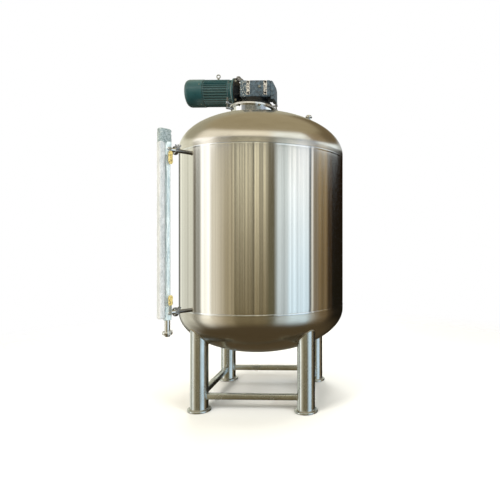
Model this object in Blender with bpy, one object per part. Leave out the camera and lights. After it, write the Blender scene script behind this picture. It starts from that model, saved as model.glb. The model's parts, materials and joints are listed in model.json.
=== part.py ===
"""Jacketed mixing tank: a dished-end stainless vessel on four tube legs, with a geared
motor on its neck and a wrapped level gauge at its side. Metres, +Z up, front is -Y."""
import math

import bmesh
import bpy
from mathutils import Matrix, Vector

# The tank's axis, measured from the middle of the whole object's footprint
TANK_AXIS = (0.0, 0.0412, 0.0)
GAP = 0.0003
MERGE = 0.00001

# Vessel
TANK_RADIUS = 0.800
SHELL_WALL = 0.008
SHELL_LOW = 0.900
SHELL_HIGH = 2.345
HEAD_FLANGE = 0.040
HEAD_DEPTH = 0.405
TANK_STEPS = 56
HEAD_ARCS = 8

# Legs, feet and braces
LEG_CIRCLE = 0.682
LEG_RADIUS = 0.080
LEG_STEPS = 24
FOOT_RADIUS = 0.105
FOOT_HEIGHT = 0.018
BRACE_SIDE = 0.050
BRACE_HEIGHT = 0.129

# Neck and what it carries
NECK_X = -0.103
NECK_RADIUS = 0.200
NECK_WALL = 0.006
NECK_TOP = 2.8457
RIM_RADIUS = 0.225
RIM_PLATE = 0.008
DRIVE_FLANGE_RADIUS = 0.170
DRIVE_FLANGE_HEIGHT = 0.038
DRIVE_X = -0.075
HUB_RADIUS = 0.140

# Gearbox
BOX_LEFT = -0.210
BOX_RIGHT = 0.092
BOX_HALF_WIDTH = 0.100
BOX_LOW = 2.945
BOX_HIGH = 3.109
COVER_RIGHT = 0.128
STRIP_WIDTH = 0.030
STRIP_PROUD = 0.005
STRIP_X = (-0.127, 0.042)

# Motor, lying along X
MOTOR_AXIS_Z = 3.011
MOTOR_RADIUS = 0.132
FIN_COUNT = 32
FIN_HEIGHT = 0.013
MOTOR_FLANGE_RADIUS = 0.145
ADAPTER_X = -0.271
MOTOR_FLANGE_X = -0.326
MOTOR_BODY_X = -0.580
COWL_X = -0.760
EYE_X = -0.450
EYE_RING = 0.017
EYE_WIRE = 0.0055
TOP_OF_EYE = 3.203

# Swing bolts that hold the cover
SWING_BOLTS = {
    "left": {"turn": 215.0, "circle": 0.262, "top": 2.925},
    "right": {"turn": -12.0, "circle": 0.250, "top": 2.894},
}
SWING_STUD = 0.008
SWING_HALF_WIDTH = 0.014

# Dome nozzle and bottom outlet
NOZZLE_X = 0.460
NOZZLE_RADIUS = 0.019
NOZZLE_TOP = 2.757
CLAMP_RADIUS = 0.033
CAP_HEIGHT = 0.028

# Level gauge, on its own radius of the tank
GAUGE_ANGLE = 231.35
GAUGE_RADIUS = 1.030
TUBE_RADIUS = 0.0255
BRANCH_RADIUS = 0.017
FERRULE_RADIUS = 0.0252
BRANCH_HEIGHTS = {"upper": 2.290, "lower": 0.926}
CLAMP_PLACE = 0.957
CLAMP_WIDTH = 0.022
COCK_HALF_HEIGHT = 0.046
COCK_RADIUS = 0.031
STEM_RADIUS = 0.014
STEM_REACH = 0.043
GAUGE_TOP = 2.470
DRAIN_LOW = 0.758
INDICATOR_DEPTH = 0.052
INDICATOR_WIDTH = 0.060
INDICATOR_LOW = 0.883

# Valve levers: each turns about its stem
LEVER_THICKNESS = 0.005
LEVER_WIDTH = 0.018
SLEEVE_WIDTH = 0.030
SLEEVE_THICKNESS = 0.014
LEVERS = {
    "upper": {"way": -1, "length": 0.130, "sleeve": (0.026, 0.094)},
    "lower": {"way": 1, "length": 0.150, "sleeve": (0.082, 0.150)},
}

SMOOTH_ANGLE = math.radians(35)


def clear_scene():
    for old in list(bpy.data.objects):
        bpy.data.objects.remove(old, do_unlink=True)


def material(name, colour, metallic, roughness):
    made = bpy.data.materials.new(name)
    made.use_nodes = True
    shader = made.node_tree.nodes["Principled BSDF"]
    shader.inputs["Base Color"].default_value = (*colour, 1.0)
    shader.inputs["Metallic"].default_value = metallic
    shader.inputs["Roughness"].default_value = roughness
    made.diffuse_color = (*colour, 1.0)
    return made


def empty(name, location, turn=0.0, parent=None):
    made = bpy.data.objects.new(name, None)
    bpy.context.scene.collection.objects.link(made)
    made.location = location
    made.rotation_euler.z = math.radians(turn)
    made.parent = parent
    return made


def node(name, shape, finish, parent, location=(0, 0, 0)):
    """Turn a bmesh into a named object, shaded smooth with its edges sharp."""
    bmesh.ops.recalc_face_normals(shape, faces=shape.faces)
    mesh = bpy.data.meshes.new(name)
    shape.to_mesh(mesh)
    shape.free()
    mesh.materials.append(finish)
    mesh.shade_smooth()
    mesh.set_sharp_from_angle(angle=SMOOTH_ANGLE)
    piece = bpy.data.objects.new(name, mesh)
    bpy.context.scene.collection.objects.link(piece)
    piece.parent = parent
    piece.location = location
    return piece


def tool(name, shape, parent, location=(0, 0, 0)):
    """A helper solid for a Boolean, not part of the object."""
    made = node(name, shape, STEEL, parent, location)
    made.hide_render = True
    made.display_type = "WIRE"
    return made


def boolean(piece, helper, operation):
    modifier = piece.modifiers.new(operation.lower(), "BOOLEAN")
    modifier.operation = operation
    modifier.solver = "EXACT"
    modifier.object = helper


def turned(outline, steps=24, closed=False, centre=(0, 0)):
    """Spin an outline of (radius, height) points about an upright axis."""
    shape = bmesh.new()
    points = [shape.verts.new((radius, 0.0, height)) for radius, height in outline]
    pairs = list(zip(points, points[1:]))
    if closed:
        pairs.append((points[-1], points[0]))
    edges = [shape.edges.new(pair) for pair in pairs]
    bmesh.ops.spin(shape, geom=points + edges, cent=(0, 0, 0), axis=(0, 0, 1),
                   angle=2 * math.pi, steps=steps, use_merge=True)
    bmesh.ops.remove_doubles(shape, verts=shape.verts, dist=MERGE)
    bmesh.ops.translate(shape, verts=shape.verts, vec=(*centre, 0.0))
    return shape


def rod(radius, low, high, steps=24, centre=(0, 0)):
    return turned([(0, low), (radius, low), (radius, high), (0, high)], steps, centre=centre)


def ring(inner, outer, low, high, steps=48, centre=(0, 0)):
    outline = [(outer, low), (outer, high), (inner, high), (inner, low)]
    return turned(outline, steps, closed=True, centre=centre)


def block(low, high):
    shape = bmesh.new()
    bmesh.ops.create_cube(shape, size=1.0)
    low, high = Vector(low), Vector(high)
    bmesh.ops.scale(shape, verts=shape.verts, vec=high - low)
    bmesh.ops.translate(shape, verts=shape.verts, vec=(high + low) / 2)
    return shape


def torus(major, minor, steps=24, sides=8):
    """A ring of round wire about the Z axis."""
    outline = []
    for i in range(sides):
        turn = 2 * math.pi * i / sides
        outline.append((major + minor * math.cos(turn), minor * math.sin(turn)))
    return turned(outline, steps, closed=True)


def extruded(points, reach):
    """Extrude the flat outline through the 3-D points along the vector reach."""
    shape = bmesh.new()
    face = shape.faces.new([shape.verts.new(point) for point in points])
    grown = bmesh.ops.extrude_face_region(shape, geom=[face])
    moved = [part for part in grown["geom"] if isinstance(part, bmesh.types.BMVert)]
    bmesh.ops.translate(shape, verts=moved, vec=reach)
    return shape


def lay_along_x(shape):
    """Turn an upright shape so that its +Z points along +X."""
    bmesh.ops.rotate(shape, verts=shape.verts, cent=(0, 0, 0),
                     matrix=Matrix.Rotation(math.radians(90), 3, "Y"))
    return shape


def lay_along_y(shape):
    """Turn an upright shape so that its +Z points along +Y."""
    bmesh.ops.rotate(shape, verts=shape.verts, cent=(0, 0, 0),
                     matrix=Matrix.Rotation(math.radians(-90), 3, "X"))
    return shape


def head_curve(radius, depth, base, way, arcs=HEAD_ARCS):
    """Points from a dished head's knuckle to its crown, which lies on the axis."""
    points = []
    for i in range(arcs + 1):
        turn = 0.5 * math.pi * i / arcs
        points.append((radius * math.cos(turn), base + way * depth * math.sin(turn)))
    points[-1] = (0.0, base + way * depth)
    return points


def head_outline(seam, way):
    """Section of one dished head: its straight flange, then half an ellipse."""
    knuckle = seam + way * HEAD_FLANGE
    inner_radius = TANK_RADIUS - SHELL_WALL
    outside = head_curve(TANK_RADIUS, HEAD_DEPTH, knuckle, way)
    inside = head_curve(inner_radius, HEAD_DEPTH - SHELL_WALL, knuckle, way)
    return inside[::-1] + [(inner_radius, seam), (TANK_RADIUS, seam)] + outside


def head_cutter(name, seam, way, parent):
    """The whole space that a head fills, a gap larger all round."""
    knuckle = seam + way * HEAD_FLANGE
    outside = head_curve(TANK_RADIUS + GAP, HEAD_DEPTH + GAP, knuckle, way)
    outline = [(0.0, seam - way * 0.2), (TANK_RADIUS + GAP, seam - way * 0.2)] + outside
    return tool(name, turned(outline, TANK_STEPS), parent)


def make_vessel(tank):
    inner = TANK_RADIUS - SHELL_WALL
    node("shell", ring(inner, TANK_RADIUS, SHELL_LOW, SHELL_HIGH, TANK_STEPS), STEEL, tank)
    top = node("top_head", turned(head_outline(SHELL_HIGH + GAP, 1), TANK_STEPS), STEEL, tank)
    node("bottom_head", turned(head_outline(SHELL_LOW - GAP, -1), TANK_STEPS), STEEL, tank)
    opening = rod(NECK_RADIUS - NECK_WALL, NECK_TOP - 0.3, NECK_TOP, 48, (NECK_X, 0))
    boolean(top, tool("neck_opening", opening, tank), "DIFFERENCE")


def leg_places():
    places = {}
    for name, turn in (("front_left", 225), ("front_right", 315), ("back_left", 135), ("back_right", 45)):
        places[name] = (LEG_CIRCLE * math.cos(math.radians(turn)),
                        LEG_CIRCLE * math.sin(math.radians(turn)))
    return places


def make_legs(tank, under_head):
    foot = [(0, 0), (FOOT_RADIUS - 0.004, 0), (FOOT_RADIUS, 0.004), (FOOT_RADIUS, FOOT_HEIGHT - 0.004),
            (FOOT_RADIUS - 0.004, FOOT_HEIGHT), (0, FOOT_HEIGHT)]
    leg_top = SHELL_LOW
    for name, place in leg_places().items():
        leg = rod(LEG_RADIUS, FOOT_HEIGHT + GAP, leg_top, LEG_STEPS)
        leg = node("leg_" + name, leg, LEG_STEEL, tank, (*place, 0))
        boolean(leg, under_head, "DIFFERENCE")
        node("foot_" + name, turned(foot, LEG_STEPS), LEG_STEEL, tank, (*place, 0))


def make_braces(tank):
    reach = LEG_CIRCLE / math.sqrt(2)
    half = BRACE_SIDE / 2
    low, high = BRACE_HEIGHT - half, BRACE_HEIGHT + half
    hollows = bmesh.new()
    for place in leg_places().values():
        post = rod(LEG_RADIUS + GAP, low - 0.05, high + 0.05, LEG_STEPS, place)
        mesh = bpy.data.meshes.new("leg_hollow")
        post.to_mesh(mesh)
        post.free()
        hollows.from_mesh(mesh)
    hollows = tool("leg_hollows", hollows, tank)
    spans = {
        "brace_front": ((-reach, -reach - half, low), (reach, -reach + half, high)),
        "brace_back": ((-reach, reach - half, low), (reach, reach + half, high)),
        "brace_left": ((-reach - half, -reach, low), (-reach + half, reach, high)),
        "brace_right": ((reach - half, -reach, low), (reach + half, reach, high)),
    }
    for name, (start, end) in spans.items():
        # stop short of the leg's far side, so that each cut leaves one bar
        along = 0 if "front" in name or "back" in name else 1
        start, end = list(start), list(end)
        start[along] += LEG_RADIUS / 2
        end[along] -= LEG_RADIUS / 2
        boolean(node(name, block(start, end), LEG_STEEL, tank), hollows, "DIFFERENCE")


def make_neck(tank, over_head):
    inner = NECK_RADIUS - NECK_WALL
    centre = (NECK_X, 0)
    neck = node("neck", ring(inner, NECK_RADIUS, NECK_TOP - 0.15, NECK_TOP, 48, centre), STEEL, tank)
    boolean(neck, over_head, "DIFFERENCE")
    low = NECK_TOP + GAP
    node("neck_flange", ring(inner, RIM_RADIUS, low, low + RIM_PLATE, 48, centre), STEEL, tank)
    low += RIM_PLATE + GAP
    node("cover_plate", rod(RIM_RADIUS, low, low + RIM_PLATE, 48, centre), STEEL, tank)
    return low + RIM_PLATE + GAP


def make_swing_bolts(tank, cover_top):
    """Each bolt stands in a lug on the neck and presses a clamp plate on the cover's rim."""
    half = SWING_HALF_WIDTH
    for side, form in SWING_BOLTS.items():
        circle = form["circle"]
        lug_low = NECK_TOP - 0.034
        holder = empty("swing_" + side, (NECK_X, 0, 0), form["turn"], tank)
        nut_low = cover_top + 0.006
        nut_high = nut_low + 0.016
        outline = [(0, lug_low + 0.004), (SWING_STUD, lug_low + 0.004), (SWING_STUD, nut_low),
                   (0.0135, nut_low), (0.0135, nut_high), (SWING_STUD, nut_high),
                   (SWING_STUD, form["top"]), (0, form["top"])]
        bolt = turned(outline, 12, centre=(circle, 0))
        bolt = node("swing_bolt_" + side, bolt, BOLT_STEEL, holder)
        lug = block((NECK_RADIUS + 2 * GAP, -half, lug_low), (circle + half, half, lug_low + 0.020))
        boolean(bolt, tool("swing_lug_" + side, lug, holder), "UNION")
        plate = block((RIM_RADIUS - 0.014, -half, cover_top), (circle + half, half, nut_low + 0.001))
        boolean(bolt, tool("swing_plate_" + side, plate, holder), "UNION")


def make_gearbox(tank, cover_top):
    flange_top = cover_top + DRIVE_FLANGE_HEIGHT
    hub_top = BOX_LOW - GAP
    outline = [(0, cover_top), (DRIVE_FLANGE_RADIUS, cover_top), (DRIVE_FLANGE_RADIUS, flange_top - 0.012),
               (DRIVE_FLANGE_RADIUS - 0.012, flange_top), (HUB_RADIUS, flange_top),
               (HUB_RADIUS - 0.02, hub_top), (0, hub_top)]
    node("gearbox_flange", turned(outline, 40, centre=(DRIVE_X, 0)), BLACK_PAINT, tank)

    half = BOX_HALF_WIDTH
    box = node("gearbox_housing", block((BOX_LEFT, -half, BOX_LOW), (BOX_RIGHT, half, BOX_HIGH)), GREY_PAINT, tank)
    rounding = box.modifiers.new("rounding", "BEVEL")
    rounding.width = 0.012
    rounding.segments = 2
    for i, x in enumerate(STRIP_X):
        for side in (-1, 1):
            near, far = sorted((side * (half - 0.010), side * (half + STRIP_PROUD)))
            strip = block((x - STRIP_WIDTH / 2, near, BOX_LOW + 0.018), (x + STRIP_WIDTH / 2, far, BOX_HIGH - 0.004))
            boolean(box, tool("strip_{}_{}".format(i, side), strip, tank), "UNION")

    left = BOX_RIGHT + GAP
    right = COVER_RIGHT
    low = BOX_LOW - 0.020
    rise = 0.080
    outline = [(left, low), (right, low)]
    for i in range(7):
        turn = 0.5 * math.pi * i / 6
        outline.append((left + 0.010 + (right - left - 0.010) * math.cos(turn),
                        BOX_HIGH - 0.004 - rise + rise * math.sin(turn)))
    outline.append((left, BOX_HIGH - 0.004))
    near, far = -half + 0.008, half - 0.008
    cover = extruded([(x, near, z) for x, z in outline], (0, far - near, 0))
    node("gearbox_end_cover", cover, GREY_PAINT, tank)


def fin_outline():
    """The motor frame's section: straight fins round a round body."""
    points = []
    pitch = 2 * math.pi / FIN_COUNT
    root = MOTOR_RADIUS - FIN_HEIGHT
    for i in range(FIN_COUNT):
        middle = i * pitch
        for turn, radius in ((-0.30, root), (-0.17, MOTOR_RADIUS), (0.17, MOTOR_RADIUS), (0.30, root)):
            angle = middle + turn * pitch
            points.append((radius * math.cos(angle), radius * math.sin(angle), 0.0))
    return points


def make_motor(tank):
    axis = (0, 0, MOTOR_AXIS_Z)
    start = BOX_LEFT - GAP
    cone = [(0, start), (0.072, start), (0.080, start - 0.016), (0.135, ADAPTER_X + 0.012),
            (MOTOR_FLANGE_RADIUS, ADAPTER_X + 0.012), (MOTOR_FLANGE_RADIUS, ADAPTER_X), (0, ADAPTER_X)]
    node("motor_adapter", lay_along_x(turned(cone, 32)), BLACK_PAINT, tank, axis)

    start = ADAPTER_X - GAP
    shield = [(0, start), (MOTOR_FLANGE_RADIUS, start), (MOTOR_FLANGE_RADIUS, start - 0.014),
              (MOTOR_RADIUS - 0.008, start - 0.026), (MOTOR_RADIUS - 0.008, MOTOR_FLANGE_X),
              (0, MOTOR_FLANGE_X)]
    node("motor_flange", lay_along_x(turned(shield, 32)), GREEN_PAINT, tank, axis)

    start = MOTOR_FLANGE_X - GAP
    frame = lay_along_x(extruded(fin_outline(), (0, 0, start - MOTOR_BODY_X)))
    frame = node("motor_body", frame, GREEN_PAINT, tank, (MOTOR_BODY_X, 0, MOTOR_AXIS_Z))
    pad = block((0.075, MOTOR_RADIUS - 0.03, -0.055), (0.175, MOTOR_RADIUS + 0.004, 0.055))
    boolean(frame, tool("terminal_pad", pad, tank, (MOTOR_BODY_X, 0, MOTOR_AXIS_Z)), "UNION")
    boss = rod(0.014, MOTOR_RADIUS - 0.03, MOTOR_RADIUS + 0.004, 12)
    boolean(frame, tool("eye_boss", boss, tank, (EYE_X, 0, MOTOR_AXIS_Z)), "UNION")

    end = MOTOR_BODY_X - GAP
    radius = MOTOR_RADIUS + 0.003
    cowl = [(0, end), (radius, end), (radius, COWL_X + 0.045)]
    for i in range(1, 5):
        turn = 0.5 * math.pi * i / 4
        cowl.append((radius - 0.030 + 0.030 * math.cos(turn), COWL_X + 0.045 - 0.045 * math.sin(turn)))
    cowl.append((0, COWL_X))
    node("fan_cowl", lay_along_x(turned(cowl, 32)), GREEN_PAINT, tank, axis)

    box_y = MOTOR_RADIUS + 0.004 + GAP
    terminals = block((0.070, box_y, -0.060), (0.180, box_y + 0.060, 0.060))
    terminals = node("terminal_box", terminals, GREEN_PAINT, tank, (MOTOR_BODY_X, 0, MOTOR_AXIS_Z))
    gland = rod(0.013, 0.082, 0.040, 12)
    gland_place = (MOTOR_BODY_X + 0.125, box_y + 0.030, MOTOR_AXIS_Z - 0.120)
    boolean(terminals, tool("gland", gland, tank, gland_place), "UNION")

    base = MOTOR_AXIS_Z + MOTOR_RADIUS + 0.004 + GAP
    shank = [(0, base), (0.013, base), (0.013, base + 0.005), (0.006, base + 0.009),
             (0.006, TOP_OF_EYE - 2 * EYE_RING - EYE_WIRE), (0, TOP_OF_EYE - 2 * EYE_RING - EYE_WIRE)]
    eye = node("lifting_eye", turned(shank, 12), STEEL, tank, (EYE_X, 0, 0))
    loop = tool("eye_loop", lay_along_y(torus(EYE_RING, EYE_WIRE, 20, 8)), tank,
                (EYE_X, 0, TOP_OF_EYE - EYE_RING - EYE_WIRE))
    boolean(eye, loop, "UNION")


def make_nozzles(tank, over_head):
    centre = (NOZZLE_X, 0)
    pipe = node("dome_nozzle", rod(NOZZLE_RADIUS, NOZZLE_TOP - 0.12, NOZZLE_TOP, 20, centre), STEEL, tank)
    boolean(pipe, over_head, "DIFFERENCE")
    low = NOZZLE_TOP + GAP
    cap = [(0, low), (CLAMP_RADIUS - 0.004, low), (CLAMP_RADIUS, low + 0.005), (CLAMP_RADIUS, low + 0.015),
           (CLAMP_RADIUS - 0.006, low + 0.019), (0.024, low + 0.020), (0.022, low + CAP_HEIGHT),
           (0, low + CAP_HEIGHT)]
    node("dome_nozzle_cap", turned(cap, 24, centre=centre), STEEL, tank)
    crown = SHELL_LOW - GAP - HEAD_FLANGE - HEAD_DEPTH
    outlet = [(0, crown - GAP), (0.026, crown - GAP), (0.026, crown - 0.018), (0.032, crown - 0.021),
              (0.032, crown - 0.028), (0, crown - 0.028)]
    node("bottom_outlet", turned(outlet, 24), STEEL, tank)


def make_branch(gauge, name, height, shell_cutter):
    """One branch: shell nozzle, clamp, cock body and its lever."""
    low, high = CLAMP_PLACE - CLAMP_WIDTH / 2, CLAMP_PLACE + CLAMP_WIDTH / 2
    joint = CLAMP_PLACE
    place = (0, 0, height)
    pipe = [(0, TANK_RADIUS - 0.04), (BRANCH_RADIUS, TANK_RADIUS - 0.04), (BRANCH_RADIUS, joint - 0.005),
            (FERRULE_RADIUS, joint - 0.003), (FERRULE_RADIUS, joint - GAP / 2), (0, joint - GAP / 2)]
    pipe = node("gauge_nozzle_" + name, lay_along_x(turned(pipe, 20)), STEEL, gauge, place)
    boolean(pipe, shell_cutter, "DIFFERENCE")

    band = lay_along_x(ring(FERRULE_RADIUS + GAP, FERRULE_RADIUS + 0.009, low, high, 20))
    clamp = node("gauge_clamp_" + name, band, STEEL, gauge, place)
    ear = block((low, FERRULE_RADIUS + 0.004, -0.011), (high, FERRULE_RADIUS + 0.022, 0.011))
    boolean(clamp, tool("clamp_ear_" + name, ear, gauge, place), "UNION")
    screw = rod(0.004, -0.026, 0.036, 10)
    boolean(clamp, tool("clamp_screw_" + name, screw, gauge,
                        (CLAMP_PLACE, FERRULE_RADIUS + 0.015, height)), "UNION")
    wings = block((-0.006, -0.016, 0.016), (0.006, 0.016, 0.028))
    boolean(clamp, tool("clamp_wings_" + name, wings, gauge,
                        (CLAMP_PLACE, FERRULE_RADIUS + 0.015, height)), "UNION")

    body = rod(COCK_RADIUS, -COCK_HALF_HEIGHT, COCK_HALF_HEIGHT, 20)
    cock = node("gauge_cock_" + name, body, STEEL, gauge, (GAUGE_RADIUS, 0, height))
    arm = [(0, joint + GAP / 2), (FERRULE_RADIUS, joint + GAP / 2), (FERRULE_RADIUS, joint + 0.003),
           (BRANCH_RADIUS, joint + 0.005), (BRANCH_RADIUS, GAUGE_RADIUS - 0.004), (0, GAUGE_RADIUS - 0.004)]
    boolean(cock, tool("cock_arm_" + name, lay_along_x(turned(arm, 20)), gauge, place), "UNION")
    stem = lay_along_y(rod(STEM_RADIUS, 0.004, STEM_REACH, 16))
    boolean(cock, tool("cock_stem_" + name, stem, gauge, (GAUGE_RADIUS, 0, height)), "UNION")
    make_lever(gauge, name, height)


def make_lever(gauge, name, height):
    """A flat lever on the stem's end, with a soft sleeve; it lies along the tube at rest."""
    form = LEVERS[name]
    way = form["way"]
    near = STEM_REACH + GAP
    middle = near + 0.008
    pivot = (GAUGE_RADIUS, 0, height)
    hub = lay_along_y(rod(0.013, near, near + 0.016, 16))
    lever = node("gauge_lever_" + name, hub, STEEL, gauge, pivot)

    def bar(start, end, width, thickness):
        low, high = sorted((way * start, way * end))
        return block((-width / 2, middle - thickness / 2, low), (width / 2, middle + thickness / 2, high))

    shank = bar(0.004, form["length"] - 0.002, LEVER_WIDTH, LEVER_THICKNESS)
    boolean(lever, tool("lever_shank_" + name, shank, gauge, pivot), "UNION")
    sleeve = bar(*form["sleeve"], SLEEVE_WIDTH, SLEEVE_THICKNESS)
    boolean(lever, tool("lever_sleeve_" + name, sleeve, gauge, pivot), "UNION")


def make_gauge(gauge, shell_cutter):
    upper, lower = BRANCH_HEIGHTS["upper"], BRANCH_HEIGHTS["lower"]
    for name, height in BRANCH_HEIGHTS.items():
        make_branch(gauge, name, height, shell_cutter)
    axis = (GAUGE_RADIUS, 0, 0)
    reach = COCK_HALF_HEIGHT + GAP
    node("gauge_tube", rod(TUBE_RADIUS, lower + reach, upper - reach, 20), FILM, gauge, axis)
    low = upper + reach
    cap = [(0, low), (TUBE_RADIUS, low), (TUBE_RADIUS, low + 0.050), (COCK_RADIUS - 0.001, low + 0.058),
           (COCK_RADIUS - 0.001, GAUGE_TOP - 0.012), (0.027, GAUGE_TOP), (0, GAUGE_TOP)]
    node("gauge_top_cap", turned(cap, 20), FILM, gauge, axis)

    joint = DRAIN_LOW
    high = lower - reach
    drain = [(0, high), (TUBE_RADIUS - 0.003, high), (TUBE_RADIUS - 0.003, joint + 0.006),
             (0.032, joint + 0.003), (0.032, joint + GAP / 2), (0, joint + GAP / 2)]
    node("gauge_drain_tube", turned(drain, 20), STEEL, gauge, axis)
    blank = [(0, joint - GAP / 2), (0.032, joint - GAP / 2), (0.032, joint - 0.003),
             (0.024, joint - 0.007), (0.022, joint - 0.030), (0, joint - 0.030)]
    node("gauge_drain_cap", turned(blank, 20), STEEL, gauge, axis)
    clamp = node("gauge_drain_clamp", ring(0.032 + GAP, 0.042, joint - 0.014, joint + 0.014, 20), STEEL,
                 gauge, axis)
    ear = block((-0.013, 0.036, -0.012), (0.013, 0.056, 0.012))
    boolean(clamp, tool("drain_ear", ear, gauge, (GAUGE_RADIUS, 0, joint)), "UNION")

    inner = GAUGE_RADIUS + COCK_RADIUS + GAP
    half = INDICATOR_WIDTH / 2
    column = block((inner, -half, INDICATOR_LOW), (inner + INDICATOR_DEPTH, half, GAUGE_TOP))
    column = node("gauge_indicator", column, FILM, gauge)
    rounding = column.modifiers.new("rounding", "BEVEL")
    rounding.width = 0.014
    rounding.segments = 2


clear_scene()
STEEL = material("polished_stainless", (0.56, 0.53, 0.47), 1.0, 0.25)
LEG_STEEL = material("brushed_stainless", (0.50, 0.50, 0.46), 1.0, 0.35)
BOLT_STEEL = material("zinc_plated_steel", (0.45, 0.45, 0.42), 1.0, 0.40)
BLACK_PAINT = material("black_paint", (0.02, 0.02, 0.022), 0.0, 0.5)
GREY_PAINT = material("blue_grey_paint", (0.10, 0.13, 0.14), 0.0, 0.5)
GREEN_PAINT = material("dark_green_paint", (0.02, 0.09, 0.09), 0.0, 0.4)
FILM = material("packing_film", (0.75, 0.80, 0.80), 0.0, 0.3)

tank_axis = empty("tank_axis", TANK_AXIS)
gauge_radius = empty("gauge_radius", (0, 0, 0), GAUGE_ANGLE, tank_axis)
top_cutter = head_cutter("top_head_space", SHELL_HIGH + GAP, 1, tank_axis)
bottom_cutter = head_cutter("bottom_head_space", SHELL_LOW - GAP, -1, tank_axis)
side_cutter = tool("shell_space", rod(TANK_RADIUS + GAP, SHELL_LOW, SHELL_HIGH, TANK_STEPS), tank_axis)

make_vessel(tank_axis)
make_legs(tank_axis, bottom_cutter)
make_braces(tank_axis)
cover_top = make_neck(tank_axis, top_cutter)
make_swing_bolts(tank_axis, cover_top)
make_gearbox(tank_axis, cover_top)
make_motor(tank_axis)
make_nozzles(tank_axis, top_cutter)
make_gauge(gauge_radius, side_cutter)
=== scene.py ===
import json
import math

import bmesh
import bpy
from mathutils import Matrix, Vector, noise

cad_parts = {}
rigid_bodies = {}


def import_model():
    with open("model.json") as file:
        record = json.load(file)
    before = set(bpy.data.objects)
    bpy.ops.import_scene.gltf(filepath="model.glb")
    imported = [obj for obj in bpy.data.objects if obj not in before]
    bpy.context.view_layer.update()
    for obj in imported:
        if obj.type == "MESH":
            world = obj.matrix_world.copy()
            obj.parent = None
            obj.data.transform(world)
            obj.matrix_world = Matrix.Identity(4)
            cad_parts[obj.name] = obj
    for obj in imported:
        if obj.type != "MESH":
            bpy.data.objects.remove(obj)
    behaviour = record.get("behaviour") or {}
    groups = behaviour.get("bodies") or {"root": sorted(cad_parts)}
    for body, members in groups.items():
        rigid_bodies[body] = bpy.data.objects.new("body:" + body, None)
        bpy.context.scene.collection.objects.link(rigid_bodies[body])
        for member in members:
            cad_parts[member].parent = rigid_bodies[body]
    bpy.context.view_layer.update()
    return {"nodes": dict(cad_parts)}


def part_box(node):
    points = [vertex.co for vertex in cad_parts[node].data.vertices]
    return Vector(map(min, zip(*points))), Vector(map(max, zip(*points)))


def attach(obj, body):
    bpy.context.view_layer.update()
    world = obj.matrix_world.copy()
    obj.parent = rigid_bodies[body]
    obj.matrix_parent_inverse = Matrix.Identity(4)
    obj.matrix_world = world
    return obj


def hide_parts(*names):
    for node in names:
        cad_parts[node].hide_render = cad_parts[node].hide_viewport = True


# Jacketed mixing tank: the finished look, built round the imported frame.
# Metres, +Z up, front is -Y.

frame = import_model()
print("frame loaded:", len(frame["nodes"]), "nodes")


# Measures read from the frame

def lowOf(name):
    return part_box(name)[0]


def highOf(name):
    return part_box(name)[1]


def middleOf(name):
    return (lowOf(name) + highOf(name)) / 2


def halfOf(name):
    return (highOf(name) - lowOf(name)) / 2


axis = Vector((middleOf("shell").x, middleOf("shell").y, 0))
tankRadius = halfOf("shell").x
shellLow, shellHigh = lowOf("shell").z, highOf("shell").z
headFlange = 0.040  # straight edge of each dished head
headDepth = shellLow - headFlange - lowOf("bottom_head").z

gaugeSpot = middleOf("gauge_tube") - axis
gaugeRadius = math.hypot(gaugeSpot.x, gaugeSpot.y)
gaugeTurn = math.atan2(gaugeSpot.y, gaugeSpot.x)
# on the gauge's radius of the tank: x outwards, y sideways towards the camera, z up
onGauge = Matrix.Translation(axis) @ Matrix.Rotation(gaugeTurn, 4, "Z")

toX = Matrix.Rotation(math.radians(90), 4, "Y")
toY = Matrix.Rotation(math.radians(-90), 4, "X")


def at(x, y=0.0, z=0.0):
    return Matrix.Translation((x, y, z))


def turn(degrees, about="Z"):
    return Matrix.Rotation(math.radians(degrees), 4, about)


def headAt(x, y, way):
    # height of a head's outside over a spot; way is 1 for the top head, -1 for the bottom one
    away = math.hypot(x - axis.x, y - axis.y) / tankRadius
    knuckle = (shellHigh if way > 0 else shellLow) + way * headFlange
    return knuckle + way * headDepth * math.sqrt(max(0.0, 1 - away * away))


# Shapes, each a bmesh

def loft(rings, endless=False):
    # skins a row of rings; a ring of one point closes to a tip
    shape = bmesh.new()
    made = [[shape.verts.new(point) for point in ring] for ring in rings]
    pairs = list(zip(made, made[1:]))
    if endless:
        pairs.append((made[-1], made[0]))
    for low, high in pairs:
        for k in range(max(len(low), len(high))):
            corners = [low[k % len(low)], low[(k + 1) % len(low)],
                       high[(k + 1) % len(high)], high[k % len(high)]]
            shape.faces.new(list(dict.fromkeys(corners)))
    return shape


def ringOf(radius, height, steps):
    if radius < 1e-6:
        return [(0.0, 0.0, height)]
    return [(radius * math.cos(2 * math.pi * k / steps), radius * math.sin(2 * math.pi * k / steps), height)
            for k in range(steps)]


def spun(profile, steps=48, closed=False):
    return loft([ringOf(radius, height, steps) for radius, height in profile], closed)


def softened(points, reach, arcs=3, closed=False):
    # bridges each corner of an outline with a short curve that starts this far from the corner
    out = []
    last = len(points) - 1
    for i, point in enumerate(points):
        if not closed and i in (0, last):
            out.append(tuple(point))
            continue
        here, before = Vector(point), Vector(points[i - 1])
        after = Vector(points[(i + 1) % len(points)])
        cut = min(reach, 0.45 * (before - here).length, 0.45 * (after - here).length)
        start = here + (before - here).normalized() * cut
        end = here + (after - here).normalized() * cut
        for k in range(arcs + 1):
            t = k / arcs
            out.append(tuple(start * (1 - t) ** 2 + here * (2 * t * (1 - t)) + end * t * t))
    return out


def turned(outline, soft, arcs=3, steps=48):
    return spun(softened(outline, soft, arcs), steps)


def disc(radius, low, high, soft, arcs=3, steps=24):
    # plain disc or pin with softened edges
    return turned([(0, low), (radius, low), (radius, high), (0, high)], soft, arcs, steps)


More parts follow.
